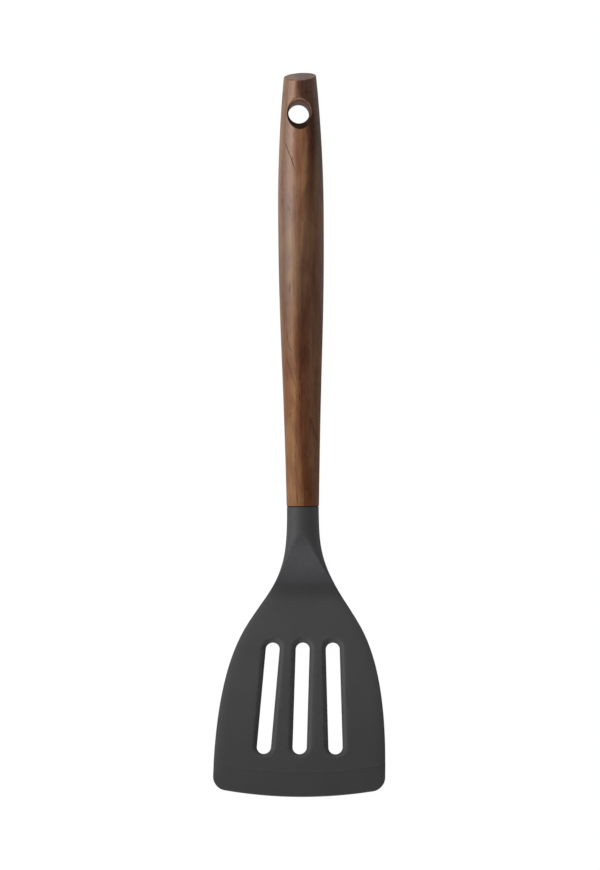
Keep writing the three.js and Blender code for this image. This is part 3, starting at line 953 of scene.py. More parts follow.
class HeadForm:
    """The head's rule: its outline, thickness and bend, all by the distance along its underside."""

    def __init__(self, sizes):
        self.sizes = sizes
        slope = tan(sizes.hip_angle)
        hip = (sizes.hip_from_joint, sizes.hip_half_width)
        widest = (sizes.head_length - sizes.widest_from_front, sizes.half_width)
        upper = swept((0, sizes.neck_radius), 0, sizes.neck_fullness, hip, slope, sizes.hip_fullness_in)
        lower = swept(hip, slope, sizes.hip_fullness_out, widest, 0, sizes.widest_fullness)
        self.side = np.concatenate([upper, lower[1:]]).T
        self.wedge = swept(
            (sizes.neck_straight, 2 * sizes.neck_radius), 0, sizes.wedge_fullness_top,
            (sizes.wedge_end, sizes.heel_thickness), 0, sizes.wedge_fullness_heel,
        ).T
        self.edge = swept(
            (sizes.neck_straight, self.half_width(sizes.neck_straight)), -tan(sizes.facet_spread),
            sizes.facet_fullness, (sizes.edge_end, sizes.blade_edge), 0, sizes.edge_fullness,
        ).T
        self.blade_start = sizes.hip_from_joint - BLADE_BEFORE_HIP
        self.lip_start = sizes.head_length - sizes.lip_length
        thinned = sizes.heel_thickness - sizes.front_thickness
        self.thinning = thinned / (self.lip_start - sizes.wedge_end)

    def half_width(self, along):
        """Half of the head's width."""
        return np.interp(along, *self.side)

    def thickness(self, along):
        """Thickness of the neck and of the blade short of its lip."""
        wedge = np.interp(along, *self.wedge)
        blade = self.sizes.heel_thickness - (along - self.sizes.wedge_end) * self.thinning
        return np.where(along < self.sizes.wedge_end, wedge, blade)

    def edge_run(self, along):
        """How far in from the side the rounding of an edge reaches."""
        return np.minimum(self.half_width(along), np.interp(along, *self.edge))

    def bow(self, sideways):
        """How far the bowed front falls back at a distance from the middle line."""
        radius = self.sizes.front_radius
        return radius - np.sqrt(radius ** 2 - sideways ** 2)

    def straightened(self, spots):
        """Spots of the blade on a map where the bowed front is straight."""
        return np.column_stack([spots[:, 0] + self.bow(spots[:, 1]), spots[:, 1]])

    def crown(self, along, sideways):
        """How far the upper face has fallen towards the blade's sides."""
        sizes = self.sizes
        slope = np.interp(along, self.side[0], np.gradient(self.side[1], self.side[0]))
        inset = (self.half_width(along) - np.abs(sideways)) / np.sqrt(1 + slope ** 2)
        inward = np.clip(inset / sizes.crown_reach, 0, 1)
        to_front = sizes.head_length - along - self.bow(sideways)
        spared = smoothstep(to_front / sizes.corner_radius, CROWN_GONE, CROWN_WHOLE)
        deep = smoothstep(along, sizes.crown_start, sizes.crown_full) * spared
        return sizes.crown_fall * (1 - np.sqrt(1 - (1 - inward) ** 2)) * deep

    def top(self, along, sideways):
        """Height of the blade's upper face, which steps down and falls away where the lip starts."""
        sizes = self.sizes
        lip_fall = sizes.front_thickness - sizes.lip_step - sizes.lip_thickness
        past = along + self.bow(sideways) - self.lip_start
        step = sizes.lip_step * smoothstep(past, 0, sizes.lip_ease)
        fall = (lip_fall / sizes.lip_length - self.thinning) * np.maximum(0, past)
        return self.thickness(along) - step - fall - self.crown(along, sideways)

    def point(self, along, sideways, height):
        """A place on the head in the tool's frame."""
        sizes = self.sizes
        turn = np.clip((along - sizes.heel_from_joint) / sizes.heel_radius, 0, sizes.bend)
        beyond = np.maximum(0, along - sizes.heel_from_joint - sizes.heel_radius * sizes.bend)
        level = np.minimum(along, sizes.heel_from_joint)
        y = -level - sizes.heel_radius * np.sin(turn) - beyond * np.cos(turn)
        z = -sizes.neck_radius + sizes.heel_radius * (1 - np.cos(turn)) + beyond * np.sin(turn)
        return np.column_stack([
            np.broadcast_to(sideways, np.shape(y)),
            y + height * np.sin(turn),
            z + height * np.cos(turn),
        ])

    def outline(self):
        """The blade's outline on its map, from the right of the neck round the front to the left."""
        sizes = self.sizes
        corner_start = sizes.head_length - sizes.corner_radius
        square = self.half_width(corner_start)
        for _ in range(CORNER_SETTLING):
            square = self.half_width(corner_start - self.bow(square))
        side_end = corner_start - self.bow(square)
        along = np.linspace(self.blade_start, side_end, SIDE_STEPS)[:-1]
        right = np.column_stack([along, self.half_width(along)])
        turn = np.linspace(0, pi / 2, CORNER_STEPS)
        into = sizes.corner_radius * np.sin(turn)
        half = square - sizes.corner_radius * (1 - np.cos(turn))
        corner = np.column_stack([corner_start + into - self.bow(half), half])
        sideways = np.linspace(half[-1], 0, FRONT_STEPS)[1:]
        front = np.column_stack([sizes.head_length - self.bow(sideways), sideways])
        right = np.concatenate([right, corner, front])
        left = right[-2::-1] * (1, -1)
        path = np.concatenate([right, left])
        walked = np.concatenate([[0], np.cumsum(np.linalg.norm(np.diff(path, axis=0), axis=1))])
        stops = np.linspace(0, walked[-1], OUTLINE_POINTS)
        return np.column_stack([np.interp(stops, walked, path[:, axis]) for axis in (0, 1)])


def neck_ring(form, along, inset):
    """One section of the neck, on the map: flat above and below, round at both edges. Its points run
    along the underside to the right, up the right edge, back along the top and down the left edge."""
    half = form.half_width(along)
    middle = float(form.thickness(along)) / 2
    flat = max(half - form.edge_run(along), LEAST_FLAT)
    edge = half - flat - inset
    rise = middle - inset
    level = flat * np.sin(np.linspace(-pi / 2, pi / 2, ACROSS + 1))[:-1]
    turn = np.arange(ROUND) * pi / ROUND
    edge_fall = form.crown(along, flat) / 2
    sideways = np.concatenate([
        level,
        flat + edge * np.sin(turn),
        -level,
        -flat - edge * np.sin(turn),
    ])
    height = np.concatenate([
        np.full(ACROSS, -rise),
        -edge_fall - (rise - edge_fall) * np.cos(turn),
        rise - form.crown(along, level),
        -edge_fall + (rise - edge_fall) * np.cos(turn),
    ])
    return sideways, middle + height


def neck(skin, form):
    """The neck, from its mouth to the start of the blade. Gives its last ring."""
    ease = form.sizes.neck_ease
    stops = [(ease * (1 - sin(t)), ease * (1 - cos(t))) for t in np.linspace(pi / 2, 0, NECK_EASE_ROWS)]
    rows = np.arange(NECK_FIRST_ROW / MM, form.blade_start / MM, NECK_ROW / MM) * MM
    stops += [(along, 0.0) for along in (*rows, form.blade_start)]
    rings = []
    for along, inset in stops:
        sideways, height = neck_ring(form, along, inset)
        rings.append(skin.add(form.point(np.full(len(sideways), along), sideways, height)))
    skin.tube(rings)
    mouth(skin, rings[0])
    return rings[-1]


def edge_outward(form, outline):
    """The directions in which the blade's edge faces, on the map, at the points of its outline."""
    ahead = np.gradient(outline, axis=0)
    normal = np.column_stack([-ahead[:, 1], ahead[:, 0]])
    normal /= np.linalg.norm(normal, axis=1)[:, None]
    square_on = np.column_stack([np.zeros(len(outline)), np.sign(outline[:, 1])])
    turned = smoothstep(outline[:, 0], form.blade_start, form.blade_start + EDGE_TURN_LENGTH)[:, None]
    outward = square_on * (1 - turned) + normal * turned
    return outward / np.linalg.norm(outward, axis=1)[:, None]


def blade_edge(skin, form, ring, inner, outward, run_in):
    """The blade's crisp rounded edge, from the right of the neck's last ring round to the left. Gives
    its columns of points, each from the upper face to the underside."""
    thick = form.top(inner[:, 0], inner[:, 1])
    turn = np.linspace(pi / 2, -pi / 2, ROUND + 1)
    columns = [ring[ACROSS + ROUND:ACROSS - 1:-1]]
    for k in range(1, len(inner) - 1):
        spots = inner[k] + outward[k] * (run_in[k] * np.cos(turn))[:, None]
        height = thick[k] / 2 * (1 + np.sin(turn))
        columns.append(skin.add(form.point(spots[:, 0], spots[:, 1], height), np.cos(turn) ** 2))
    columns.append([*ring[2 * ACROSS + ROUND:], ring[0]])
    for column, other in zip(columns, columns[1:]):
        skin.strip(column, other)
    return columns


def slot_walls(skin, form, material):
    """The slots' walls. Gives the loops of their upper and of their lower rims, each as the numbers of
    its points and their places on the map."""
    sizes = form.sizes
    tree_sizes = {
        "Count": sizes.slot_count,
        "Width": sizes.slot_width,
        "Length": sizes.slot_length,
        "Land": sizes.slot_land,
        "Fan": sizes.slot_fan,
        "Middle from joint": sizes.slot_from_joint + sizes.slot_length / 2,
        "Rim": sizes.slot_rim,
        "Crispness": sizes.slot_crispness,
        "Heel thickness": sizes.heel_thickness,
        "Wedge end": sizes.wedge_end,
        "Thinning": form.thinning,
        "Points round": SLOT_POINTS,
        "Rows": SLOT_ROWS,
    }
    walls = grown(slot_rims_tree(tree_sizes, material), tree_sizes)
    places = np.array([vertex.co for vertex in walls.vertices])
    numbers = skin.take(walls, lambda spots: form.point(spots[:, 1], spots[:, 0], spots[:, 2]), 1.0)
    upper = []
    lower = []
    for loop in open_loops([tuple(face.vertices) for face in walls.polygons]):
        is_upper = places[loop][:, 2].mean() > sizes.front_thickness / 2
        (upper if is_upper else lower).append(([numbers[i] for i in loop], places[loop][:, 1::-1]))
    return upper, lower


def face_points(form, outline, outward):
    """Points within the blade's faces, on a map that straightens the bow: a grid, rows at the lip's
    step and rows along the falling sides."""
    sizes = form.sizes
    step_rows = form.lip_start + sizes.lip_ease * np.array(STEP_ROWS)
    step_start, step_end = step_rows[[0, -1]]
    rows = np.concatenate([
        np.arange(form.blade_start + GRID_MARGIN, step_start, FACE_GRID),
        step_rows,
        np.arange(step_end + GRID_MARGIN, sizes.head_length, FACE_GRID),
    ])
    level = np.arange(-sizes.half_width, sizes.half_width, FACE_GRID)
    grid = np.array(np.meshgrid(rows, level)).reshape(2, -1).T
    beside = form.half_width(grid[:, 0] - form.bow(grid[:, 1])) - np.abs(grid[:, 1])
    stepped = (grid[:, 0] > step_start - STEP_MARGIN) & (grid[:, 0] < step_end + STEP_MARGIN)
    square = sizes.head_length - sizes.corner_radius
    grid = grid[(beside > sizes.crown_reach + CROWN_MARGIN) | stepped | (grid[:, 0] > square)]
    crowned = np.concatenate([
        form.straightened(outline - outward * sizes.crown_reach * way_in) for way_in in CROWN_ROWS
    ])
    along = crowned[:, 0]
    off_step = (along < step_start - STEP_CLEARANCE) | (along > step_end + STEP_CLEARANCE)
    on_blade = (along > form.blade_start + CROWN_MARGIN) & (along < square - CORNER_CLEARANCE)
    return np.concatenate([grid, crowned[off_step & on_blade]])


def underside(along, sideways):
    """Height of the blade's underside."""
    return np.zeros(len(along))


def head_skin(sizes, material):
    """The head's skin: its neck, the blade's edge, the slots' walls and the blade's two faces."""
    form = HeadForm(sizes)
    skin = Skin()
    ring = neck(skin, form)
    outline = form.outline()
    outward = edge_outward(form, outline)
    run_in = form.edge_run(outline[:, 0])
    inner = outline - outward * run_in[:, None]
    columns = blade_edge(skin, form, ring, inner, outward, run_in)
    upper, lower = slot_walls(skin, form, material)
    inside = face_points(form, outline, outward)
    sideways, _ = neck_ring(form, form.blade_start, 0)
    neck_map = np.column_stack([np.full(len(sideways), form.blade_start), sideways])

    # Each face: its row in the edge's columns, its slots, the neck's points from the left, its height
    faces = (
        (0, upper, list(range(2 * ACROSS + ROUND, ACROSS + ROUND - 1, -1)), form.top),
        (ROUND, lower, list(range(ACROSS + 1)), underside),
    )
    for row, slots, neck_row, height_at in faces:

        def place(spots, height_at=height_at):
            along = spots[:, 0] - form.bow(spots[:, 1])
            return form.point(along, spots[:, 1], height_at(along, spots[:, 1]))

        edge_loop = [column[row] for column in columns] + [ring[i] for i in neck_row[1:-1]]
        edge_map = np.concatenate([neck_map[neck_row[-1:]], inner[1:-1], neck_map[neck_row[:-1]]])
        loops = [edge_loop, *(numbers for numbers, _ in slots)]
        maps = [edge_map, *(places for _, places in slots)]
        skin.fill(loops, [form.straightened(spots) for spots in maps], inside, place)
    return skin


def mouth(skin, neck_edge):
    """The top of the neck: its end face and, from the packed head, the room for the core."""
    source = bmesh.new()
    source.from_mesh(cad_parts["head"].data)
    bmesh.ops.transform(source, matrix=LAID.inverted(), verts=source.verts)
    bmesh.ops.remove_doubles(source, verts=source.verts, dist=SAME_PLACE)

    def at_joint(vert):
        return abs(vert.co.y) < MOUTH_FLATNESS

    # Without its end face, the packed head falls into its outer skin and the room for the core
    end_face = [face for face in source.faces if all(at_joint(vert) for vert in face.verts)]
    bmesh.ops.delete(source, geom=end_face, context="FACES_ONLY")
    mouth_verts = [vert for vert in source.verts if vert.link_faces and at_joint(vert)]
    start = min(mouth_verts, key=lambda vert: vert.co.xz.length)
    reached = {start}
    edge = [start]
    while edge:
        vert = edge.pop()
        for link in vert.link_edges:
            other = link.other_vert(vert)
            if link.link_faces and other not in reached:
                reached.add(other)
                edge.append(other)
    order = sorted(reached, key=lambda vert: vert.index)
    numbers = dict(zip(order, skin.add([vert.co for vert in order])))
    room = [tuple(numbers[v] for v in face.verts) for face in source.faces if face.verts[0] in reached]
    skin.faces.extend(room)
    rim = max(open_loops(room), key=len)
    source.free()

    def flat(loop):
        return np.array([(skin.points[i][0], skin.points[i][2]) for i in loop])

    nothing_inside = np.zeros((1, 2))
    skin.fill([neck_edge, rim], [flat(neck_edge), flat(rim)], nothing_inside,
              lambda spots: np.column_stack([spots[:, 0], np.zeros(len(spots)), spots[:, 1]]), 0.0)


# Finishes, on places in millimetres: x to the right, y along the handle towards its end, z up

# The tree's middle, far to the left, where in a growth layer the count starts, and a layer's colours
PITH_X = -62.0
PITH_Z = 10.0
FIRST_LAYER = 0.837
LAYER_STOPS = (
    (0.03, "heartwood"), (0.1, "heartwood"), (0.2, "midwood"),
    (0.42, "midwood"), (0.5, "palewood"), (0.92, "palewood"),
)

# Colours and tints of the wood's parts
EVEN_WOOD = (0.135, 0.060, 0.029)
UPPER_TINT = (1.25, 1.27, 1.25)
# The next tint is painted shade on the handle's right side
RIGHT_SHADE_TINT = (0.4, 0.37, 0.4)
BAND_TINT = (0.78, 0.82, 0.84)
RUDDY_TINT = (0.88, 0.76, 0.72)
GOLDEN_AND_HIGHLIGHT_TINT = (1.14, 1.22, 1.02)
RED_BLOTCH = (0.91, 0.83, 0.81)
PALE_BLOTCH = (1.12, 1.17, 1.15)

# Marks on the handle's upper side: start and end as x and y, half width, strength and length of fading.
# The last of the cracks is a dull streak across the grain. UPPER_SIDE is where on z the marks come in
UPPER_SIDE = (8.0, 12.0)
RUDDY_MARK = ((2.4, 62.0), (0.8, 28.0), 3.2, 1.0, 14.0)
# Of the golden marks, the first is a painted highlight band on the upper left and the second golden wood
GOLDEN_AND_HIGHLIGHT_MARKS = (
    ((-5.4, 90.0), (-4.0, 40.0), 2.4, 1.0, 14.0),
    ((-4.6, 24.0), (-4.6, 2.0), 2.9, 1.0, 12.0),
)
CRACKS = (
    ((-7.6, 137.4), (-3.0, 124.0), 0.22, 0.85, 3.0),
    ((-7.4, 33.3), (-3.3, 20.3), 0.22, 0.7, 3.0),
    ((-5.2, 7.6), (-6.7, 5.9), 0.25, 0.8, 0.6),
    ((3.5, 5.3), (6.9, -5.8), 1.1, 0.32, 3.0),
)

# The silicone's painted shade: where it darkens towards the front, and the middle and edges of the
# bend's hollow
FRONT_SHADE_FROM_TO = (-90.0, -172.0)
FRONT_SHADE_TINT = (0.78, 0.78, 0.78)
HOLLOW_Y = -78.3
HOLLOW_EDGES = (5.5, 1.0)
HOLLOW_SHADE_TINT = (0.8, 0.8, 0.8)

# The second colours of the hidden pieces
GLASS_SPECK = (0.05, 0.05, 0.054)
DEEP_GLUE = (0.42, 0.30, 0.11)


class Finish(Wiring):
    """A procedural material with its Principled shader."""

    def __init__(self, name, roll=0.0):
        self.material = bpy.data.materials.new(name)
        self.material.use_nodes = True
        super().__init__(self.material.node_tree)
        self.shader = self.tree.nodes["Principled BSDF"]
        coordinates = self.add("ShaderNodeTexCoord").outputs["Object"]
        axis_height = LEVELLED_JOINT.z / MM
        self.place = self.add("ShaderNodeMapping", {
            "Vector": coordinates,
            "Location": (axis_height * sin(roll), 0, axis_height * (1 - cos(roll))),
            "Rotation": (-LYING_TILT, -roll, 0),
            "Scale": (1 / MM, 1 / MM, 1 / MM),
        }).outputs[0]

    def stretched(self, x, y, z):
        """The place, with its three parts scaled."""
        return self.add("ShaderNodeVectorMath", {0: self.place, 1: (x, y, z)},
                        operation="MULTIPLY").outputs[0]

    def noise(self, vector, scale=1.0, detail=2.0, roughness=0.5, distortion=0.0):
        """A soft random value about 0.5."""
        return self.add("ShaderNodeTexNoise", {
            "Vector": vector,
            "Scale": scale,
            "Detail": detail,
            "Roughness": roughness,
            "Distortion": distortion,
        }).outputs[0]

    def spread(self, value, low, high, to_low=0.0, to_high=1.0):
        """A value brought smoothly from one range to another."""
        return self.add("ShaderNodeMapRange", {
            "Value": value,
            "From Min": low,
            "From Max": high,
            "To Min": to_low,
            "To Max": to_high,
        }, interpolation_type="SMOOTHSTEP").outputs[0]

    def mixed(self, factor, first, second, blend="MIX"):
        """Two colours mixed."""
        node = self.add("ShaderNodeMix", data_type="RGBA", blend_type=blend)
        self.feed(node.inputs[0], factor)
        self.feed(node.inputs[6], first)
        self.feed(node.inputs[7], second)
        return node.outputs[2]

    def tinted(self, factor, shade, tint):
        """A colour multiplied by a tint, as far as the factor says."""
        return self.mixed(factor, shade, opaque(tint), "MULTIPLY")

    def cells(self, vector):
        """Random cells, as the distance to their middles and a colour for each."""
        return self.add("ShaderNodeTexVoronoi", {
            "Vector": vector,
            "Scale": 1.0,
            "Randomness": 1.0,
        }).outputs

    def wear_grain_and_shade(self):
        """The wear, darker end grain and painted shade at each point of the skin."""
        return self.add("ShaderNodeAttribute", attribute_name="wear_grain_and_shade").outputs["Fac"]

    def shade(self, **inputs):
        """Sets the shader's inputs."""
        for key, value in inputs.items():
            self.feed(self.shader.inputs[key.replace("_", " ")], value)
        return self.material

    def bump(self, height, strength, distance):
        """Relief of some height in metres."""
        return self.add("ShaderNodeBump", {
            "Height": height,
            "Strength": strength,
            "Distance": distance,
        }).outputs[0]


def opaque(rgb):
    """A colour with full alpha."""
    return (*rgb, 1)


def walnut(sizes):
    """Oiled walnut: growth layers, fibres along the handle, short open pores."""
    finish = Finish("oiled_walnut", sizes.roll)
    plus, minus, times, larger = finish.plus, finish.minus, finish.times, finish.larger
    noise, stretched, spread, tinted = finish.noise, finish.stretched, finish.spread, finish.tinted
    x, y, z = finish.parts(finish.place)

    # Growth layers round the pith. They sway along the handle and drift aside at both ends
    sway = noise(stretched(0.02, 0.011, 0.02), detail=2.0)
    ripple = noise(stretched(0.12, 0.03, 0.12), detail=3.0)
    swayed = plus(times(sway, 6.0), times(ripple, 1.6))
    drift = plus(spread(y, 50.0, 140.0, -0.5, 4.8), spread(y, -10.0, -38.0, 0.0, 2.0))
    drift = minus(drift, spread(y, 145.0, 165.0, 0.0, 5.5))
    from_pith = finish.distance(minus(x, PITH_X), minus(z, PITH_Z))
    depth = minus(plus(from_pith, swayed), drift)
    layers = finish.math("DIVIDE", depth, sizes.layer_spacing / MM)
    layer = finish.math("FRACT", plus(layers, FIRST_LAYER))
    ramp = finish.add("ShaderNodeValToRGB", {"Fac": layer})
    stops = ramp.color_ramp.elements
    for stop in stops:
        stop.color = opaque((a + b) / 2 for a, b in zip(sizes.heartwood, sizes.palewood))
    for position, shade in LAYER_STOPS:
        stops.new(position).color = opaque(getattr(sizes, shade))

    # Painted shade on the right side, following the growth layers. The bore and the sawn end cut through
    # it and show the plain wood
    rising = plus(spread(y, 20.0, 80.0, 0.1, 0.5), spread(y, 100.0, 150.0, 0.0, 0.5))
    rising = minus(rising, spread(y, 148.0, 163.0, 0.0, 0.25))
    end_y = (LEVELLED_JOINT.y + sizes.full_length) / MM
    hole_y = end_y - sizes.hole_from_end / MM
    hole_radius = sizes.hole_radius / MM
    from_bore = finish.distance(plus(x, sizes.hole_aside / MM), minus(y, hole_y))
    in_bore = spread(from_bore, hole_radius + 1.6, hole_radius + 0.9)
    slanted = plus(y, times(minus(z, LEVELLED_JOINT.z / MM), tan(sizes.end_slant)))
    skewed = minus(slanted, times(x, tan(sizes.end_skew)))
    cut = larger(in_bore, spread(skewed, end_y - 0.4, end_y - 0.1))
    right_side_shade = times(times(spread(depth, 64.5, 68.0), rising), minus(1.0, cut))

    # Even wood half way up, paler wood towards the end, painted shade on the right side, and a dull band
    # on the left
    evened = times(spread(y, 50.0, 80.0, 0.0, 0.75), spread(y, 125.0, 100.0))
    even = finish.mixed(evened, ramp.outputs[0], opaque(EVEN_WOOD))
    paler = tinted(spread(y, 50.0, 130.0), even, UPPER_TINT)
    right_shaded = tinted(right_side_shade, paler, RIGHT_SHADE_TINT)
    aside = plus(x, swayed)
    band = times(spread(aside, -1.4, -3.2), spread(aside, -6.2, -4.6))
    banded = tinted(times(band, spread(y, 10.0, 60.0)), right_shaded, BAND_TINT)

    def mark(start, end, width, strength, fade):
        """A streak over the upper side."""
        slant = (end[0] - start[0]) / (end[1] - start[1])
        course = plus(times(minus(y, start[1]), slant), start[0])
        off = plus(minus(x, course), minus(ripple, 0.5))
        line = spread(finish.math("ABSOLUTE", off), width, width / 4, 0.0, strength)
        lasting = times(spread(y, end[1] - fade / 2, end[1] + fade / 2),
                        spread(y, start[1] + fade / 2, start[1] - fade / 2))
        return times(times(line, lasting), spread(z, *UPPER_SIDE))

    # Figure: golden and reddish clouds drawn out along the grain, a painted highlight band, streaks,
    # fibres and soft blotches
    figure = noise(stretched(0.2, 0.018, 0.2), detail=3.0, roughness=0.55, distortion=0.9)
    streaks = noise(stretched(1.1, 0.02, 1.1), detail=4.0, roughness=0.65)
    fibres = noise(stretched(4.5, 0.06, 4.5), detail=3.0, roughness=0.6)
    blotch = noise(stretched(0.22, 0.07, 0.22), detail=2.0, roughness=0.5, distortion=0.6)
    ruddy = larger(spread(figure, 0.52, 0.36), mark(*RUDDY_MARK))
    reddish = tinted(ruddy, banded, RUDDY_TINT)
    # Golden clouds and marks, one mark being a painted highlight band
    gilded_and_highlit = spread(figure, 0.5, 0.66)
    for golden_and_highlight_mark in GOLDEN_AND_HIGHLIGHT_MARKS:
        gilded_and_highlit = larger(gilded_and_highlit, mark(*golden_and_highlight_mark))
    golden_and_highlit = tinted(gilded_and_highlit, reddish, GOLDEN_AND_HIGHLIGHT_TINT)
    shading = times(spread(streaks, 0.3, 0.7, 0.91, 1.09), spread(fibres, 0.3, 0.7, 0.94, 1.06))
    shaded = finish.mixed(1.0, golden_and_highlit, finish.vector(shading, shading, shading), "MULTIPLY")
    blotched = finish.mixed(spread(blotch, 0.36, 0.64), opaque(RED_BLOTCH), opaque(PALE_BLOTCH))
    wood = finish.mixed(1.0, shaded, blotched, "MULTIPLY")

    # Pores in rows, a few larger flecks, thin mineral lines and cracks
    crowding = spread(layer, 0.1, 0.9, 0.2, 0.12)
    pore_cells = finish.cells(stretched(1.7, 0.12, 1.7))
    pore = spread(minus(crowding, pore_cells["Distance"]), -0.03, 0.05)
    pores = times(pore, spread(fibres, 0.4, 0.58))
    fleck_cells = finish.cells(stretched(0.7, 0.06, 0.7))
    chosen = spread(finish.parts(fleck_cells["Color"])[0], 0.84, 0.9)
    flecks = times(chosen, spread(fleck_cells["Distance"], 0.2, 0.1))
    vein = spread(finish.math("ABSOLUTE", minus(figure, 0.47)), 0.009, 0.002)
    veins = times(vein, spread(ripple, 0.5, 0.62))
    dark = larger(times(pores, 0.75), larger(times(flecks, 0.7), times(veins, 0.6)))
    for crack in CRACKS:
        dark = larger(dark, mark(*crack))
    # Below 0 the skin's value darkens the wood: painted shade in the hang hole and the joint, darker end
    # grain on the sawn end
    dark_and_shaded = larger(dark, times(finish.wear_grain_and_shade(), -1.0))

    # The hand has polished the upper left most
    polish = times(spread(y, 10.0, 110.0, 0.2, 1.0), spread(x, -2.0, 7.0, 1.0, 0.4))
    return finish.shade(
        Base_Color=finish.mixed(dark_and_shaded, wood, opaque(sizes.pore)),
        Roughness=plus(spread(fibres, 0.3, 0.7, 0.31, 0.42), times(dark, 0.2)),
        Normal=finish.bump(minus(times(fibres, 0.35), dark), 0.35, 0.08 * MM),
        Specular_Tint=opaque(sizes.oil),
        Specular_IOR_Level=times(polish, minus(1.0, dark_and_shaded)),
    )


def silicone(sizes):
    """Matt dark silicone: an even grey with a fine moulded grain, a little dulled along its edges, with
    painted shade towards the front and in the bend's hollow.
    """
    finish = Finish("grey_silicone")
    times, spread = finish.times, finish.spread
    cloud = finish.noise(finish.place, scale=0.045, detail=3.0)
    grain = finish.noise(finish.place, scale=3.2, detail=2.0)
    scuff = finish.noise(finish.place, scale=0.6, detail=3.0)
    rubbed = times(finish.wear_grain_and_shade(), spread(scuff, 0.35, 0.7))
    pale = opaque(sizes.rubbed)
    clouded = finish.mixed(spread(cloud, 0.3, 0.7, 0.0, 0.24), opaque(sizes.silicone), pale)
    scuffed = finish.mixed(times(rubbed, 0.6), clouded, pale)

    # Painted shade: darker towards the front, and in the hollow of the bend
    along = finish.parts(finish.place)[1]
    front_shaded = finish.tinted(spread(along, *FRONT_SHADE_FROM_TO), scuffed, FRONT_SHADE_TINT)
    from_hollow = finish.math("ABSOLUTE", finish.minus(along, HOLLOW_Y))
    return finish.shade(
        Base_Color=finish.tinted(spread(from_hollow, *HOLLOW_EDGES), front_shaded, HOLLOW_SHADE_TINT),
        Roughness=finish.plus(spread(scuff, 0.3, 0.7, 0.54, 0.62), times(rubbed, 0.05)),
        Normal=finish.bump(grain, 0.12, 0.05 * MM),
        Specular_IOR_Level=0.5,
    )


def moulded_nylon(sizes):
    """Glass-filled nylon of the hidden core."""
    finish = Finish("moulded_nylon")
    speck = finish.noise(finish.place, scale=2.4, detail=3.0)
    return finish.shade(
        Base_Color=finish.mixed(finish.spread(speck, 0.5, 0.75), opaque(sizes.nylon),
                                opaque(GLASS_SPECK)),
        Roughness=finish.spread(speck, 0.3, 0.7, 0.5, 0.65),
        Normal=finish.bump(speck, 0.2, 0.05 * MM),
    )


def cured_glue(sizes):
    """Cured glue round the hidden shank."""
    finish = Finish("cured_glue")
    cloud = finish.noise(finish.place, scale=0.5, detail=3.0)
    return finish.shade(
        Base_Color=finish.mixed(finish.spread(cloud, 0.3, 0.7), opaque(sizes.glue),
                                opaque(DEEP_GLUE)),
        Roughness=finish.spread(cloud, 0.3, 0.7, 0.25, 0.45),
        Normal=finish.bump(cloud, 0.2, 0.1 * MM),
    )


# Stage

WHITE = (1, 1, 1)


def lay_floor(stage):
    """The floor, white to the camera where nothing shades it."""
    material = bpy.data.materials.new("studio_floor")
    material.use_nodes = True
    wiring = Wiring(material.node_tree)
    material.node_tree.nodes.clear()
    matt = wiring.add("ShaderNodeBsdfDiffuse", {"Color": opaque([stage.floor_pale] * 3)})
    plain = wiring.add("ShaderNodeEmission", {"Color": opaque(WHITE), "Strength": stage.floor_glow})
    seen = wiring.add("ShaderNodeLightPath").outputs["Is Camera Ray"]
    factor = wiring.times(seen, stage.floor_white)
    mix = wiring.add("ShaderNodeMixShader", {0: factor, 1: matt.outputs[0], 2: plain.outputs[0]})
    wiring.add("ShaderNodeOutputMaterial", {"Surface": mix.outputs[0]})
    half = stage.floor_side / 2
    mesh = bpy.data.meshes.new("studio_floor")
    corners = [(-half, -half, 0), (half, -half, 0), (half, half, 0), (-half, half, 0)]
    mesh.from_pydata(corners, [], [(0, 1, 2, 3)])
    mesh.materials.append(material)
    floor = bpy.data.objects.new("studio_floor", mesh)
    bpy.context.scene.collection.objects.link(floor)


def light_studio(scene, stage):
    """Even light from all round, a softbox on the left, a strip over the handle, a fill at each end."""
    world = bpy.data.worlds.new("studio")
    world.use_nodes = True
    scene.world = world
    wiring = Wiring(world.node_tree)
    world.node_tree.nodes.clear()
    rays = wiring.add("ShaderNodeLightPath").outputs
    seen = wiring.times(rays["Is Camera Ray"], 1 - stage.ambient)
    dimmed = wiring.times(rays["Is Glossy Ray"], stage.ambient - stage.reflected)
    strength = wiring.minus(wiring.plus(seen, stage.ambient), dimmed)
    sky = wiring.add("ShaderNodeBackground", {"Color": opaque(WHITE), "Strength": strength})
    wiring.add("ShaderNodeOutputWorld", {"Surface": sky.outputs[0]})
    far = stage.lamp_distance
    wide, high = stage.fill_wide, stage.fill_high
    lamps = (
        ("softbox", stage.softbox_power, WHITE, -stage.softbox_lean, "Y",
         stage.softbox_high, stage.softbox_long, stage.softbox_along, stage.softbox_distance),
        ("strip", stage.strip_power, WHITE, -stage.strip_lean, "Y",
         stage.strip_wide, stage.strip_long, stage.strip_along, far),
        ("near_fill", stage.near_power, stage.near_tint, stage.fill_lean, "X", wide, high, 0, far),
        ("far_fill", stage.far_power, WHITE, -stage.fill_lean, "X", wide, high, 0, far),
    )
    for name, watts, tint, lean, axis, across, long, along, distance in lamps:
        lamp = bpy.data.lights.new(name, "AREA")
        lamp.shape = "RECTANGLE"
        lamp.size = across
        lamp.size_y = long
        lamp.energy = watts
        lamp.color = tint
        box = bpy.data.objects.new(name, lamp)
        box.matrix_world = (Matrix.Translation((0, along, 0)) @ Matrix.Rotation(lean, 4, axis)
                            @ Matrix.Translation((0, 0, distance)))
        box.visible_camera = False
        scene.collection.objects.link(box)


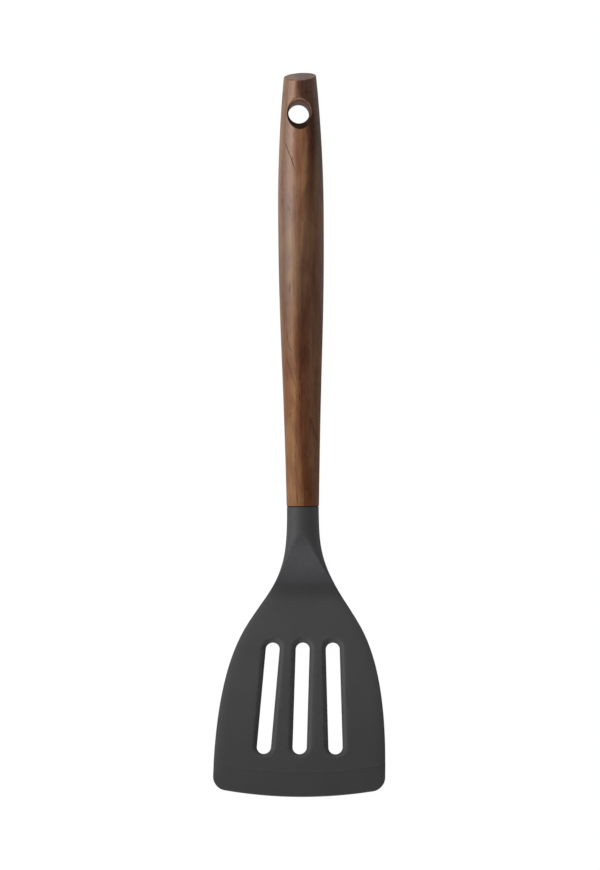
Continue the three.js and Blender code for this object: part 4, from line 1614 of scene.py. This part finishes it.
def place_camera(scene, stage):
    """The camera, over the handle and a little to its right."""
    lens = bpy.data.cameras.new("photo_camera")
    lens.lens = stage.camera_lens
    camera = bpy.data.objects.new("photo_camera", lens)
    place = (stage.camera_aside, stage.camera_along, stage.camera_height)
    camera.matrix_world = (LAID @ Matrix.Rotation(stage.camera_swing, 4, "Y")
                           @ Matrix.Translation(place) @ Matrix.Rotation(stage.camera_turn, 4, "Z"))
    scene.collection.objects.link(camera)
    scene.camera = camera


# Steps

class TURNER_OT_handle(bpy.types.Operator):
    """Builds the walnut handle with its hang hole, sawn end and socket"""

    bl_idname = "turner.handle"
    bl_label = "Handle"

    def execute(self, context):
        sizes = context.scene.turner_handle
        wood = walnut(sizes)
        piece = handle_skin(sizes, wood).piece("walnut_handle", wood)
        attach(piece, BODY)
        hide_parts("handle")
        return {"FINISHED"}


class TURNER_OT_head(bpy.types.Operator):
    """Builds the silicone head: neck, bent blade, slots and lip"""

    bl_idname = "turner.head"
    bl_label = "Head"

    def execute(self, context):
        sizes = context.scene.turner_head
        rubber = silicone(sizes)
        piece = head_skin(sizes, rubber).piece("silicone_head", rubber)
        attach(piece, BODY)
        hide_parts("head")
        return {"FINISHED"}


class TURNER_OT_hidden(bpy.types.Operator):
    """Finishes the hidden core and the glue that holds it"""

    bl_idname = "turner.hidden"
    bl_label = "Core and glue"

    def execute(self, context):
        sizes = context.scene.turner_head
        for node, finish in (("core", moulded_nylon), ("bond", cured_glue)):
            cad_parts[node].material_slots[0].material = finish(sizes)
        return {"FINISHED"}


class TURNER_OT_stage(bpy.types.Operator):
    """Sets the floor, the soft studio light and the camera"""

    bl_idname = "turner.stage"
    bl_label = "Stage"

    def execute(self, context):
        stage = context.scene.turner_stage
        lay_floor(stage)
        light_studio(context.scene, stage)
        place_camera(context.scene, stage)
        context.scene.view_settings.view_transform = "Standard"
        return {"FINISHED"}


# Sidebar

STEPS = (TURNER_OT_handle, TURNER_OT_head, TURNER_OT_hidden, TURNER_OT_stage)
SIZE_GROUPS = {
    "turner_handle": TurnerHandleSizes,
    "turner_head": TurnerHeadSizes,
    "turner_stage": TurnerStageSizes,
}


class TURNER_PT_sidebar(bpy.types.Panel):
    """Lists the turner's sizes and the steps that build it"""

    bl_idname = "TURNER_PT_sidebar"
    bl_label = "Kitchen turner"
    bl_space_type = "VIEW_3D"
    bl_region_type = "UI"
    bl_category = "Turner"

    def draw(self, context):
        for step in STEPS:
            self.layout.operator(step.bl_idname)
        for name, group in SIZE_GROUPS.items():
            box = self.layout.box()
            box.label(text=group.__doc__)
            for size in group.__annotations__:
                box.prop(getattr(context.scene, name), size)


CLASSES = (*SIZE_GROUPS.values(), *STEPS, TURNER_PT_sidebar)


def register():
    """Adds the classes and the size groups to Blender."""
    for made in CLASSES:
        bpy.utils.register_class(made)
    for name, group in SIZE_GROUPS.items():
        setattr(bpy.types.Scene, name, PointerProperty(type=group))


def unregister():
    """Takes the size groups and the classes out of Blender."""
    for name in SIZE_GROUPS:
        delattr(bpy.types.Scene, name)
    for made in reversed(CLASSES):
        bpy.utils.unregister_class(made)


def main():
    """Builds the pieces and the stage."""
    register()
    bpy.ops.turner.handle()
    bpy.ops.turner.head()
    bpy.ops.turner.hidden()
    bpy.ops.turner.stage()


if __name__ == "__main__":
    main()
